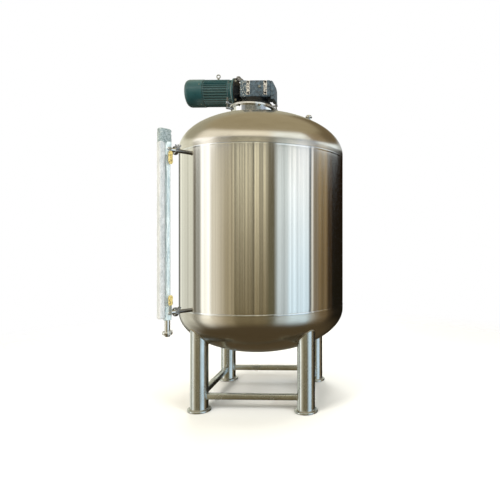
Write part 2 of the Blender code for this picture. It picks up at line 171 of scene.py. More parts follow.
def circleAt(centre, radius, steps):
    return [(centre.x + x, centre.y + y) for x, y, _ in ringOf(radius, 0, steps)]


def squircle(angle, wide, deep):
    # point of a rounded box's outline
    across, depth = math.cos(angle), math.sin(angle)
    squeeze = (across ** 4 + depth ** 4) ** -0.25
    return wide * across * squeeze, deep * depth * squeeze


def slab(low, high, soft, arcs=2):
    shape = bmesh.new()
    bmesh.ops.create_cube(shape, size=1.0)
    low, high = Vector(low), Vector(high)
    bmesh.ops.scale(shape, verts=shape.verts, vec=high - low)
    bmesh.ops.translate(shape, verts=shape.verts, vec=(high + low) / 2)
    bmesh.ops.bevel(shape, geom=list(shape.edges), offset=soft, segments=arcs, profile=0.5, affect="EDGES",
                    clamp_overlap=True)
    return shape


def prism(points, reach):
    # a flat outline of 3-D points, pulled along a vector
    shape = bmesh.new()
    face = shape.faces.new([shape.verts.new(point) for point in points])
    grown = bmesh.ops.extrude_face_region(shape, geom=[face])
    ends = [part for part in grown["geom"] if isinstance(part, bmesh.types.BMVert)]
    bmesh.ops.translate(shape, verts=ends, vec=reach)
    return shape


def sweep(path, radius, sides, closed=False, swell=None):
    # round bar along a path; swell(i) scales the radius at point i
    points = [Vector(point) for point in path]
    count = len(points)
    rings = []
    side = None
    for i, here in enumerate(points):
        if closed:
            along = points[(i + 1) % count] - points[i - 1]
        else:
            along = points[min(i + 1, count - 1)] - points[max(i - 1, 0)]
        along.normalize()
        if side is None:
            side = along.orthogonal().normalized()
        side = (side - along * side.dot(along)).normalized()
        other = along.cross(side)
        reach = radius * (swell(i) if swell else 1.0)
        rings.append([here + side * (reach * math.cos(2 * math.pi * k / sides))
                      + other * (reach * math.sin(2 * math.pi * k / sides)) for k in range(sides)])
    if not closed:
        rings = [[points[0]]] + rings + [[points[-1]]]
    return loft(rings, closed)


def moved(shape, matrix):
    bmesh.ops.transform(shape, matrix=matrix, verts=shape.verts)
    return shape


def joined(shapes):
    whole = bmesh.new()
    for shape in shapes:
        mesh = bpy.data.meshes.new("part")
        shape.to_mesh(mesh)
        shape.free()
        whole.from_mesh(mesh)
        bpy.data.meshes.remove(mesh)
    return whole


def copied(shape, places):
    mesh = bpy.data.meshes.new("part")
    shape.to_mesh(mesh)
    shape.free()
    copies = []
    for place in places:
        copy = bmesh.new()
        copy.from_mesh(mesh)
        copies.append(moved(copy, place))
    bpy.data.meshes.remove(mesh)
    return joined(copies)


def around(count, start=0.0):
    return [turn(start + 360 * k / count) for k in range(count)]


def carved(shape, cutter):
    # takes the cutter out of the shape at once, so that no modifier is left
    pair = []
    for part in (shape, cutter):
        bmesh.ops.recalc_face_normals(part, faces=part.faces)
        mesh = bpy.data.meshes.new("part")
        part.to_mesh(mesh)
        part.free()
        pair.append(bpy.data.objects.new("part", mesh))
        bpy.context.scene.collection.objects.link(pair[-1])
    cut = pair[0].modifiers.new("cut", "BOOLEAN")
    cut.operation, cut.solver, cut.object = "DIFFERENCE", "EXACT", pair[1]
    evaluated = pair[0].evaluated_get(bpy.context.evaluated_depsgraph_get())
    mesh = bpy.data.meshes.new_from_object(evaluated)
    result = bmesh.new()
    result.from_mesh(mesh)
    for part in pair:
        bpy.data.objects.remove(part, do_unlink=True)
    return result


def hexPrism(across, low, high):
    corner = across / math.sqrt(3)
    edge = min(0.12 * across, 0.4 * (high - low))
    outline = [(0, low), (corner, low), (corner, high - edge), (corner - edge * 1.2, high), (0, high)]
    return spun(outline, 6)


def hexBolt(across):
    # head on its washer, standing on z = 0
    base = 0.15 * across
    return joined([hexPrism(across, base, base + 0.62 * across), disc(0.68 * across, 0, base, 0.0006)])


def threaded(radius, low, high, pitch=0.0035, steps=20):
    # coarse enough to show: each thread is a ridge
    count = max(2, int((high - low) / pitch))
    step = (high - low) / count
    profile = [(0, low)]
    for k in range(count):
        profile += [(radius * 0.88, low + k * step), (radius, low + (k + 0.5) * step)]
    profile += [(radius * 0.88, high), (0, high)]
    return spun(profile, steps)


def weldBead(path, radius):
    # the radius swells with every ripple that the torch left
    return sweep(path, radius, 8, True, lambda i: 1 + 0.18 * math.cos(2 * math.pi * i / 3))


def evenly(path, spacing):
    # closed path resampled to a whole number of three-point ripples
    points = [Vector(point) for point in path]
    points.append(points[0])
    lengths = [0.0]
    for before, after in zip(points, points[1:]):
        lengths.append(lengths[-1] + (after - before).length)
    count = 3 * max(4, round(lengths[-1] / (3 * spacing)))
    out, k = [], 0
    for i in range(count):
        want = lengths[-1] * i / count
        while lengths[k + 1] < want:
            k += 1
        share = (want - lengths[k]) / (lengths[k + 1] - lengths[k])
        out.append(points[k].lerp(points[k + 1], share))
    return out


sharpFrom = math.radians(38)  # edges with a larger angle stay sharp


def piece(name, shape, finish, replaces=(), body="tank"):
    bmesh.ops.recalc_face_normals(shape, faces=shape.faces)
    mesh = bpy.data.meshes.new(name)
    shape.to_mesh(mesh)
    shape.free()
    mesh.materials.append(finish)
    mesh.shade_smooth()
    mesh.set_sharp_from_angle(angle=sharpFrom)
    made = bpy.data.objects.new(name, mesh)
    bpy.context.scene.collection.objects.link(made)
    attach(made, body)
    if replaces:
        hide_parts(*replaces)


# Materials

def linear(colour):
    # sRGB hex to linear
    parts = [int(colour[k:k + 2], 16) / 255 for k in (1, 3, 5)]
    return tuple(p / 12.92 if p <= 0.04045 else ((p + 0.055) / 1.055) ** 2.4 for p in parts) + (1.0,)


def addNode(tree, kind, settings=None, links=None, **options):
    # links take a socket, or a node for its first output
    made = tree.nodes.new("ShaderNode" + kind)
    for name, value in options.items():
        setattr(made, name, value)
    for name, value in (settings or {}).items():
        made.inputs[name].default_value = value
    for name, source in (links or {}).items():
        tree.links.new(source.outputs[0] if hasattr(source, "outputs") else source, made.inputs[name])
    return made


def newMaterial(name, colour, metallic, roughness, **sockets):
    # gives the material, its tree, its shader and its object coordinates in metres
    made = bpy.data.materials.new(name)
    made.use_nodes = True
    shader = made.node_tree.nodes["Principled BSDF"]
    shader.inputs["Base Color"].default_value = linear(colour)
    shader.inputs["Metallic"].default_value = metallic
    shader.inputs["Roughness"].default_value = roughness
    for name, value in sockets.items():
        shader.inputs[name.replace("_", " ")].default_value = value
    return made, made.node_tree, shader, addNode(made.node_tree, "TexCoord").outputs["Object"]


def plug(tree, shader, colour=None, **sources):
    # joins the finished colour mix, roughness, bump and tangent to the shader
    if colour:
        tree.links.new(colour.outputs[2], shader.inputs["Base Color"])
    for name, source in sources.items():
        tree.links.new(source.outputs[0], shader.inputs[name])


def mirrorPolishedStainless():
    # sheet ground and buffed upright: mirrors its surroundings as clean bands with a fine upright drag
    made, tree, shader, place = newMaterial("mirrorPolishedStainless", "#cfccc5", 1.0, 0.12,
                                            Anisotropic=1.0, Anisotropic_Rotation=0.25)
    radial = addNode(tree, "Tangent", direction_type="RADIAL", axis="Z")
    upright = addNode(tree, "Mapping", {"Scale": (1, 1, 0.012)}, {"Vector": place})
    drag = addNode(tree, "TexNoise", {"Scale": 1 / 0.006, "Detail": 4.0}, {"Vector": upright})
    rough = addNode(tree, "MapRange", {1: 0.3, 2: 0.7, 3: 0.09, 4: 0.15}, {0: drag})
    flat = addNode(tree, "Mapping", {"Scale": (1, 1, 0.4)}, {"Vector": place})
    cloud = addNode(tree, "TexNoise", {"Scale": 1 / 0.35, "Detail": 2.0}, {"Vector": flat})
    tone = addNode(tree, "Mix", {6: linear("#d6d4ce"), 7: linear("#cac6be")}, {0: cloud}, data_type="RGBA")
    plug(tree, shader, tone, Roughness=rough, Tangent=radial)
    return made


def buffedStainless():
    # pressed heads, buffed in arcs: a soft satin that still carries the bands near the seam
    made, tree, shader, place = newMaterial("buffedStainless", "#cbc5b8", 1.0, 0.18)
    arcs = addNode(tree, "Mapping", {"Scale": (1, 1, 4)}, {"Vector": place})
    swirl = addNode(tree, "TexNoise", {"Scale": 1 / 0.16, "Detail": 4.0, "Distortion": 0.5}, {"Vector": arcs})
    rough = addNode(tree, "MapRange", {1: 0.3, 2: 0.7, 3: 0.17, 4: 0.25}, {0: swirl})
    tone = addNode(tree, "Mix", {6: linear("#cfcbc2"), 7: linear("#c0b9ab")}, {0: swirl}, data_type="RGBA")
    plug(tree, shader, tone, Roughness=rough)
    return made


def brushedPipeStainless():
    # pipe belted along its length: cool satin with fine lines and a few handling rubs
    made, tree, shader, place = newMaterial("brushedPipeStainless", "#c9cbc6", 1.0, 0.24,
                                            Anisotropic=0.8, Anisotropic_Rotation=0.25)
    radial = addNode(tree, "Tangent", direction_type="RADIAL", axis="Z")
    flat = addNode(tree, "Mapping", {"Scale": (1, 1, 0.6)}, {"Vector": place})
    rubs = addNode(tree, "TexNoise", {"Scale": 1 / 0.09, "Detail": 4.0, "Roughness": 0.6}, {"Vector": flat})
    rough = addNode(tree, "MapRange", {1: 0.3, 2: 0.7, 3: 0.18, 4: 0.30}, {0: rubs})
    tone = addNode(tree, "Mix", {6: linear("#d0d4d2"), 7: linear("#bfc3bf")}, {0: rubs}, data_type="RGBA")
    plug(tree, shader, tone, Roughness=rough, Tangent=radial)
    return made


def cloudedMetal(name, colour, roughness, cloud, least, most, pale, dull):
    # metal whose roughness and tone follow one cloud of a given size, detail and grit
    made, tree, shader, place = newMaterial(name, colour, 1.0, roughness)
    size, detail, grit = cloud
    patches = addNode(tree, "TexNoise", {"Scale": 1 / size, "Detail": detail, "Roughness": grit},
                      {"Vector": place})
    rough = addNode(tree, "MapRange", {1: 0.3, 2: 0.7, 3: least, 4: most}, {0: patches})
    tone = addNode(tree, "Mix", {6: linear(pale), 7: linear(dull)}, {0: patches}, data_type="RGBA")
    plug(tree, shader, tone, Roughness=rough)
    return made


def crumpledFilm():
    # film bunched and twisted at the top of the wrapping: grey-teal, with painted highlights as white glints
    # on the fold ridges and painted shade in the fold hollows
    made, tree, shader, place = newMaterial("crumpledFilm", "#8d9a9a", 0.0, 0.22,
                                            Coat_Weight=0.6, Coat_Roughness=0.08)
    folds = addNode(tree, "TexNoise", {"Scale": 1 / 0.016, "Detail": 5.0, "Distortion": 1.5},
                    {"Vector": place})
    share = addNode(tree, "MapRange", {1: 0.40, 2: 0.62}, {0: folds})
    # painted light: the colour follows the fold height, darker in the hollows as painted shade, paler on the
    # ridges as painted glints
    tone = addNode(tree, "Mix", {6: linear("#6a7879"), 7: linear("#a3adac")}, {0: share}, data_type="RGBA")
    bump = addNode(tree, "Bump", {"Distance": 0.004}, {"Height": folds})
    plug(tree, shader, tone, Normal=bump)
    return made


def weldMetal():
    # laid bead, pickled after welding: dull, faintly straw coloured
    made, tree, shader, place = newMaterial("weldMetal", "#b3ac9a", 1.0, 0.38)
    heat = addNode(tree, "TexNoise", {"Scale": 1 / 0.03, "Detail": 3.0}, {"Vector": place})
    rough = addNode(tree, "MapRange", {1: 0.3, 2: 0.7, 3: 0.28, 4: 0.44}, {0: heat})
    tone = addNode(tree, "Mix", {6: linear("#c3beb0"), 7: linear("#94876d")}, {0: heat}, data_type="RGBA")
    grit = addNode(tree, "TexNoise", {"Scale": 1 / 0.002, "Detail": 3.0}, {"Vector": place})
    bump = addNode(tree, "Bump", {"Distance": 0.00004}, {"Height": grit})
    plug(tree, shader, tone, Roughness=rough, Normal=bump)
    return made


def motorEnamel():
    # dark green enamel sprayed on cast aluminium: glossy, with orange peel and a little dust on top
    made, tree, shader, place = newMaterial("motorEnamel", "#12393c", 0.0, 0.32,
                                            Coat_Weight=0.35, Coat_Roughness=0.16)
    patches = addNode(tree, "TexNoise", {"Scale": 1 / 0.05, "Detail": 4.0}, {"Vector": place})
    paint = addNode(tree, "Mix", {6: linear("#0f3437"), 7: linear("#184447")}, {0: patches}, data_type="RGBA")
    facing = addNode(tree, "SeparateXYZ", {}, {0: addNode(tree, "NewGeometry").outputs["Normal"]})
    upward = addNode(tree, "MapRange", {1: 0.2, 2: 1.0, 3: 0.0, 4: 0.30}, {0: facing.outputs[2]})
    specks = addNode(tree, "TexNoise", {"Scale": 1 / 0.02, "Detail": 3.0}, {"Vector": place})
    dust = addNode(tree, "Math", {}, {0: upward, 1: specks}, operation="MULTIPLY")
    tone = addNode(tree, "Mix", {7: linear("#7f8f88")}, {0: dust, 6: paint.outputs[2]}, data_type="RGBA")
    rough = addNode(tree, "MapRange", {1: 0.3, 2: 0.7, 3: 0.27, 4: 0.40}, {0: patches})
    peel = addNode(tree, "TexNoise", {"Scale": 1 / 0.0025, "Detail": 2.0}, {"Vector": place})
    bump = addNode(tree, "Bump", {"Distance": 0.00012}, {"Height": peel})
    plug(tree, shader, tone, Roughness=rough, Normal=bump)
    return made


castPaint = {"rubbedFrom": -0.185, "rubbedTo": -0.10}  # metres along the gearbox


def castIronPaint():
    # blue-grey primer brushed over rough cast iron: mottled, rubbed to pale filler near the motor
    made, tree, shader, place = newMaterial("castIronPaint", "#56666d", 0.0, 0.46)
    patches = addNode(tree, "TexNoise", {"Scale": 1 / 0.030, "Detail": 5.0, "Roughness": 0.65},
                      {"Vector": place})
    share = addNode(tree, "MapRange", {1: 0.38, 2: 0.62}, {0: patches})
    paint = addNode(tree, "Mix", {6: linear("#1f2a31"), 7: linear("#485862")}, {0: share}, data_type="RGBA")
    along = addNode(tree, "SeparateXYZ", {}, {0: place})
    left = addNode(tree, "MapRange", {1: castPaint["rubbedFrom"], 2: castPaint["rubbedTo"], 3: 1.0, 4: 0.12},
                   {0: along})
    flecks = addNode(tree, "TexNoise", {"Scale": 1 / 0.012, "Detail": 4.0, "Roughness": 0.7},
                     {"Vector": place})
    worn = addNode(tree, "MapRange", {1: 0.54, 2: 0.60}, {0: flecks})
    rubbed = addNode(tree, "Math", {}, {0: worn, 1: left}, operation="MULTIPLY")
    tone = addNode(tree, "Mix", {7: linear("#b3b4a9")}, {0: rubbed, 6: paint.outputs[2]}, data_type="RGBA")
    rough = addNode(tree, "MapRange", {3: 0.36, 4: 0.56}, {0: share})
    skin = addNode(tree, "TexNoise", {"Scale": 1 / 0.003, "Detail": 4.0, "Roughness": 0.6}, {"Vector": place})
    bump = addNode(tree, "Bump", {"Distance": 0.0004}, {"Height": skin})
    plug(tree, shader, tone, Roughness=rough, Normal=bump)
    return made


def brownPrimer():
    # grey-brown primer on a rough casting: matt, paler in patches
    made, tree, shader, place = newMaterial("brownPrimer", "#77706a", 0.0, 0.5)
    patches = addNode(tree, "TexNoise", {"Scale": 1 / 0.012, "Detail": 4.0, "Roughness": 0.6},
                      {"Vector": place})
    share = addNode(tree, "MapRange", {1: 0.4, 2: 0.6}, {0: patches})
    tone = addNode(tree, "Mix", {6: linear("#3f3e3c"), 7: linear("#7d7973")}, {0: share}, data_type="RGBA")
    bump = addNode(tree, "Bump", {"Distance": 0.0003}, {"Height": patches})
    plug(tree, shader, tone, Normal=bump)
    return made


def blackEnamel():
    # black stove enamel on iron: nearly black, semi-gloss, slightly uneven
    made, tree, shader, place = newMaterial("blackEnamel", "#0c0d0e", 0.0, 0.34, Specular_IOR_Level=0.35)
    patches = addNode(tree, "TexNoise", {"Scale": 1 / 0.03, "Detail": 4.0}, {"Vector": place})
    tone = addNode(tree, "Mix", {6: linear("#060707"), 7: linear("#131516")}, {0: patches}, data_type="RGBA")
    rough = addNode(tree, "MapRange", {1: 0.3, 2: 0.7, 3: 0.28, 4: 0.45}, {0: patches})
    skin = addNode(tree, "TexNoise", {"Scale": 1 / 0.003, "Detail": 3.0}, {"Vector": place})
    bump = addNode(tree, "Bump", {"Distance": 0.0002}, {"Height": skin})
    plug(tree, shader, tone, Roughness=rough, Normal=bump)
    return made


def machinedIron():
    # milled pads left bare: warm pale grey with darker stains
    made, tree, shader, place = newMaterial("machinedIron", "#cfc4ac", 0.5, 0.42)
    streaks = addNode(tree, "Mapping", {"Scale": (0.05, 1, 1)}, {"Vector": place})
    lines = addNode(tree, "TexNoise", {"Scale": 1 / 0.0016, "Detail": 2.0}, {"Vector": streaks})
    stains = addNode(tree, "TexNoise", {"Scale": 1 / 0.011, "Detail": 4.0, "Roughness": 0.65},
                     {"Vector": place})
    share = addNode(tree, "MapRange", {1: 0.44, 2: 0.54}, {0: stains})
    tone = addNode(tree, "Mix", {6: linear("#d9d5ca"), 7: linear("#7a7674")}, {0: share}, data_type="RGBA")
    bump = addNode(tree, "Bump", {"Distance": 0.0001}, {"Height": lines})
    plug(tree, shader, tone, Normal=bump)
    return made


def darkRecess():
    # near-black painted shade for the inside of tapped holes and the fan behind the cowl's grille; oily
    # patches only in the roughness
    made, tree, shader, place = newMaterial("darkRecess", "#0b0a09", 0.2, 0.6)
    oil = addNode(tree, "TexNoise", {"Scale": 1 / 0.004, "Detail": 2.0}, {"Vector": place})
    rough = addNode(tree, "MapRange", {1: 0.3, 2: 0.7, 3: 0.5, 4: 0.75}, {0: oil})
    plug(tree, shader, Roughness=rough)
    return made


def bubbleFilm():
    # white foam under bubble film: milky, with round bubbles and creases
    made, tree, shader, place = newMaterial("bubbleFilm", "#e9ebe9", 0.0, 0.34,
                                            Coat_Weight=0.4, Coat_Roughness=0.14)
    bubbles = addNode(tree, "TexVoronoi", {"Scale": 1 / 0.011, "Randomness": 0.35}, {"Vector": place})
    domes = addNode(tree, "MapRange", {1: 0.0, 2: 0.55, 3: 1.0, 4: 0.0}, {0: bubbles})
    flat = addNode(tree, "Mapping", {"Scale": (1, 1, 0.5)}, {"Vector": place})
    milk = addNode(tree, "TexNoise", {"Scale": 1 / 0.045, "Detail": 4.0}, {"Vector": flat})
    share = addNode(tree, "MapRange", {1: 0.35, 2: 0.65}, {0: milk})
    tone = addNode(tree, "Mix", {6: linear("#c2c3c3"), 7: linear("#b0b4b5")}, {0: share}, data_type="RGBA")
    first = addNode(tree, "Bump", {"Distance": 0.0010}, {"Height": domes})
    folds = addNode(tree, "TexNoise", {"Scale": 1 / 0.02, "Detail": 4.0, "Distortion": 1.2},
                    {"Vector": place})
    bump = addNode(tree, "Bump", {"Distance": 0.002}, {"Height": folds, "Normal": first})
    plug(tree, shader, tone, Normal=bump)
    return made


def stretchFilm():
    # clear film pulled tight over the tube: glossy, pale blue to green, with long upright creases; the crease
    # hollows are painted darker as shade and the ridges paler as highlight
    made, tree, shader, place = newMaterial("stretchFilm", "#b4c3c8", 0.0, 0.16,
                                            Coat_Weight=0.7, Coat_Roughness=0.06)
    upright = addNode(tree, "Mapping", {"Scale": (1, 1, 0.06)}, {"Vector": place})
    creases = addNode(tree, "TexNoise", {"Scale": 1 / 0.008, "Detail": 4.0, "Distortion": 0.3},
                      {"Vector": upright})
    share = addNode(tree, "MapRange", {1: 0.36, 2: 0.64}, {0: creases})
    # painted light: the blue-green tint follows the crease height, darker in the hollows as painted shade,
    # paler on the ridges as painted highlight
    tone = addNode(tree, "Mix", {6: linear("#9db0b5"), 7: linear("#dce6e6")}, {0: share}, data_type="RGBA")
    bump = addNode(tree, "Bump", {"Distance": 0.0016}, {"Height": creases})
    plug(tree, shader, tone, Normal=bump)
    return made


def dippedSleeve():
    # soft PVC dipped over the lever: warm yellow, waxy, grubby in patches
    made, tree, shader, place = newMaterial("dippedSleeve", "#cdb368", 0.0, 0.38)
    dirt = addNode(tree, "TexNoise", {"Scale": 1 / 0.014, "Detail": 4.0, "Roughness": 0.6}, {"Vector": place})
    share = addNode(tree, "MapRange", {1: 0.48, 2: 0.66}, {0: dirt})
    tone = addNode(tree, "Mix", {6: linear("#cdb873"), 7: linear("#5a4a24")}, {0: share}, data_type="RGBA")
    rough = addNode(tree, "MapRange", {3: 0.32, 4: 0.5}, {0: share})
    bump = addNode(tree, "Bump", {"Distance": 0.0002}, {"Height": dirt})
    plug(tree, shader, tone, Roughness=rough, Normal=bump)
    return made


def mouldedBlack():
    # moulded black nylon of a cable gland: matt with a faint grain
    made, tree, shader, place = newMaterial("mouldedBlack", "#17181a", 0.0, 0.5)
    grain = addNode(tree, "TexNoise", {"Scale": 1 / 0.0012, "Detail": 2.0}, {"Vector": place})
    bump = addNode(tree, "Bump", {"Distance": 0.00008}, {"Height": grain})
    plug(tree, shader, Normal=bump)
    return made


def paleFloor():
    # smooth pale studio floor that fades out with distance
    made, tree, shader, place = newMaterial("paleFloor", "#efefed", 0.0, 0.7)
    away = addNode(tree, "VectorMath", {}, {0: place}, operation="LENGTH").outputs["Value"]
    near, far = studio["floorFades"]
    alpha = addNode(tree, "MapRange", {1: near, 2: far, 3: 1.0, 4: 0.0}, {0: away},
                    interpolation_type="SMOOTHSTEP")
    plug(tree, shader, Alpha=alpha)
    return made


studio = {
    "floorRadius": 7.0, "floorFades": (2.2, 6.0),
    "backdrop": "#ffffff",
    # soft boxes: place, what they look at, size, strength in watts, colour
    "lights": {
        "keyLight": ((-3.6, -5.0, 5.2), (0, 0, 1.6), 3.0, 330, "#fffaf2"),
        "fillLight": ((4.6, -4.2, 3.2), (0, 0, 1.6), 3.0, 220, "#eef6ff"),
        "topLight": ((0.5, 1.0, 7.0), (0, 0, 2.0), 4.0, 300, "#ffffff"),
        "backLight": ((-2.0, 6.0, 4.0), (0, 0, 1.8), 3.0, 200, "#ffffff"),
    },
}

mirrorSteel = mirrorPolishedStainless()
headSteel = buffedStainless()
pipeSteel = brushedPipeStainless()
# turned and tumbled fittings: bright, with short scratches
fittingSteel = cloudedMetal("smallPolishedStainless", "#d6d6d3", 0.12, (0.010, 4.0, 0.6), 0.08, 0.18,
                            "#dddddb", "#c6c6c2")
# investment-cast clamps and mirror pipe: a darker grey copy of the fitting stainless, its darkness a painted
# reflection of dark surroundings
clampSteel = cloudedMetal("castStainless", "#8d8f92", 0.16, (0.008, 4.0, 0.6), 0.10, 0.24,
                          "#a9abad", "#6f7073")
crumple = crumpledFilm()
weldSteel = weldMetal()
# bright passivated fasteners: slightly cloudy, from pale grey to straw
zincSteel = cloudedMetal("zincPlatedSteel", "#b4b6b0", 0.30, (0.006, 3.0, 0.5), 0.22, 0.40,
                         "#c0c2bd", "#94927f")
greenPaint = motorEnamel()
greyPaint = castIronPaint()
earPrimer = brownPrimer()
blackPaint = blackEnamel()
bareIron = machinedIron()
# near-black painted shade, used for the depth of holes and for the fan inside the cowl
recess = darkRecess()
foam = bubbleFilm()
film = stretchFilm()
sleeveVinyl = dippedSleeve()
blackNylon = mouldedBlack()
print("materials made")


# Camera and studio

photoView = {
    "spot": (0.90624, -4.61336, 1.50808),  # from the tank's axis
    "turn": 1.65, "lens": 33.29, "sensor": 36.0, "shift": (-0.1802, -0.01396),
}


def makeCamera():
    lens = bpy.data.cameras.new("photoCamera")
    lens.lens, lens.sensor_width = photoView["lens"], photoView["sensor"]
    lens.shift_x, lens.shift_y = photoView["shift"]
    camera = bpy.data.objects.new("photoCamera", lens)
    camera.location = axis + Vector(photoView["spot"])
    camera.rotation_euler = (math.radians(90), 0, math.radians(photoView["turn"]))
    bpy.context.scene.collection.objects.link(camera)
    bpy.context.scene.camera = camera


# What the polished steel mirrors: upright panels round the object, in four rows one over the other, each at
# its own degrees over the horizon. A panel is its first and last degree, from the front and positive to the
# right, and its colour; between two panels the colours run into each other.
surroundings = {
    "gain": 1.85,  # makes up for what the steel swallows, so that a panel shows about its own colour
    "climb": 1.7,
    "low": (-9, [
        (-180, -142, "#54554f"), (-137, -95, "#bfc0b6"), (-93, -89, "#6b675c"), (-87, -81, "#888881"),
        (-78, -63, "#f6f6ee"), (-60, -56, "#cac4b5"), (-38, -29, "#8c826a"), (-26, 16, "#655b43"),
        (19, 26, "#57533f"), (31, 43, "#aab6bc"), (47, 75, "#bfd5e4"), (77, 79, "#565b5d"),
        (81, 82, "#c4c4bb"), (84, 90, "#776d5d"), (94, 107, "#66573f"), (114, 120, "#33291c"),
        (124, 180, "#14110b")]),
    "high": (12, [
        (-180, -142, "#54554f"), (-137, -95, "#cfcfc1"), (-93, -89, "#6e695f"), (-87, -81, "#92948e"),
        (-78, -63, "#ffffff"), (-60, -56, "#cbc5b5"), (-38, -29, "#aea68f"), (-26, 16, "#cdc7ae"),
        (19, 25, "#5f5744"), (31, 43, "#dce4e6"), (47, 75, "#ffffff"), (77, 79, "#60676a"),
        (81, 82, "#ffffff"), (84, 90, "#867c69"), (94, 107, "#84704c"), (114, 120, "#402f1c"),
        (124, 180, "#1a110a")]),
    "neck": (16, [
        (-180, -98, "#c4c4b6"), (-90, -60, "#ffffff"), (-50, -36, "#7d8083"), (-30, 33, "#54544c"),
        (42, 54, "#64716f"), (62, 86, "#8995a6"), (100, 135, "#e6f1f7"), (150, 180, "#a0a4a4")]),
    "glow": (27, [
        (-180, -100, "#8f8c7a"), (-85, -30, "#d9d4c7"), (-25, 20, "#e2dccd"), (28, 76, "#e6ecec"),
        (84, 110, "#82745c"), (125, 180, "#5d513c")]),
    "ceiling": (38, 52, "#90866d"),  # degrees over which it takes over, and its colour
    "ground": (-13, -44, "#453b2a"),
    # upright dark and light boards in the front panel, seen most from the degree seenTo upwards
    "boards": {"start": -31, "end": 15, "edge": 2, "width": 3.0, "dark": 0.34, "light": 1.55,
               "seenFrom": -6.0, "seenTo": 12.0, "least": 0.35},
    "grain": {"width": 7.0, "dark": 0.76, "light": 1.16},  # all round, with finer lines inside the widest
}


def makeWorld():
    world = bpy.data.worlds.new("studioWorld")
    bpy.context.scene.world = world
    world.use_nodes = True
    tree = world.node_tree
    tree.nodes.clear()
    way = addNode(tree, "TexCoord").outputs["Generated"]
    x, y, z = addNode(tree, "SeparateXYZ", {}, {0: way}).outputs
    ahead = addNode(tree, "Math", {1: -1.0}, {0: y}, operation="MULTIPLY")
    radians = addNode(tree, "Math", {}, {0: x, 1: ahead}, operation="ARCTAN2")
    azimuth = addNode(tree, "Math", {}, {0: radians}, operation="DEGREES")
    rise = addNode(tree, "Math", {}, {0: addNode(tree, "Math", {}, {0: z}, operation="ARCSINE")},
                   operation="DEGREES")
    across = addNode(tree, "MapRange", {1: -180.0, 2: 180.0}, {0: azimuth})

    rows = []
    for name in ("low", "high", "neck", "glow"):
        height, panels = surroundings[name]
        ramp = addNode(tree, "ValToRGB", {}, {0: across})
        stops = ramp.color_ramp.elements
        stops.remove(stops[1])
        edges = [(angle, colour) for start, end, colour in panels for angle in (start, end)]
        for k, (angle, colour) in enumerate(edges[1:-1]):
            stop = stops.new((angle + 180) / 360) if k else stops[0]
            stop.position, stop.color = (angle + 180) / 360, linear(colour)
        rows.append((height, ramp))

    # from the low row to the high one, with a power that keeps the low row's colours up to the horizon
    (lowAt, low), (highAt, high), (neckAt, neckRow), (glowAt, glow) = rows
    climb = addNode(tree, "MapRange", {1: lowAt, 2: highAt}, {0: rise})
    climb = addNode(tree, "Math", {1: surroundings["climb"]}, {0: climb}, operation="POWER")
    colour = addNode(tree, "Mix", {}, {0: climb, 6: low, 7: high}, data_type="RGBA").outputs[2]

    form, grain = surroundings["boards"], surroundings["grain"]
    boards = addNode(tree, "TexNoise", {"Scale": 1 / form["width"], "Detail": 2.0}, {"W": azimuth},
                     noise_dimensions="1D")
    boards = addNode(tree, "MapRange", {1: 0.42, 2: 0.56, 3: form["dark"], 4: form["light"]}, {0: boards})
    middle, half = (form["start"] + form["end"]) / 2, (form["end"] - form["start"]) / 2
    away = addNode(tree, "Math", {1: middle}, {0: azimuth}, operation="SUBTRACT")
    away = addNode(tree, "Math", {}, {0: away}, operation="ABSOLUTE")
    front = addNode(tree, "MapRange", {1: half + form["edge"], 2: half - form["edge"]}, {0: away})
    seen = addNode(tree, "MapRange", {1: form["seenFrom"], 2: form["seenTo"], 3: form["least"], 4: 1.0},
                   {0: rise})
    front = addNode(tree, "Math", {}, {0: front, 1: seen}, operation="MULTIPLY")
    boards = addNode(tree, "Mix", {2: 1.0}, {0: front, 3: boards}, data_type="FLOAT")
    fine = addNode(tree, "TexNoise", {"Scale": 1 / grain["width"], "Detail": 4.0, "Roughness": 0.7},
                   {"W": azimuth}, noise_dimensions="1D")
    fine = addNode(tree, "MapRange", {1: 0.35, 2: 0.65, 3: grain["dark"], 4: grain["light"]}, {0: fine})
    lines = addNode(tree, "Math", {}, {0: boards, 1: fine}, operation="MULTIPLY")
    colour = addNode(tree, "VectorMath", {}, {0: colour, "Scale": lines}, operation="SCALE").outputs[0]

    for start, end, ramp in ((highAt, neckAt - 2, neckRow), (neckAt + 2, glowAt - 4, glow)):
        share = addNode(tree, "MapRange", {1: start, 2: end}, {0: rise}, interpolation_type="SMOOTHSTEP")
        colour = addNode(tree, "Mix", {}, {0: share, 6: colour, 7: ramp}, data_type="RGBA").outputs[2]
    for start, end, tint in (surroundings["ceiling"], surroundings["ground"]):
        share = addNode(tree, "MapRange", {1: start, 2: end}, {0: rise}, interpolation_type="SMOOTHSTEP")
        colour = addNode(tree, "Mix", {7: linear(tint)}, {0: share, 6: colour}, data_type="RGBA").outputs[2]

    seenDirect = addNode(tree, "LightPath").outputs["Is Camera Ray"]
    mirrored = addNode(tree, "Background", {"Strength": surroundings["gain"]}, {"Color": colour})
    backdrop = addNode(tree, "Background", {"Color": linear(studio["backdrop"]), "Strength": 1.0})
    chosen = addNode(tree, "MixShader", {}, {0: seenDirect, 1: mirrored, 2: backdrop})
    addNode(tree, "OutputWorld", {}, {"Surface": chosen})


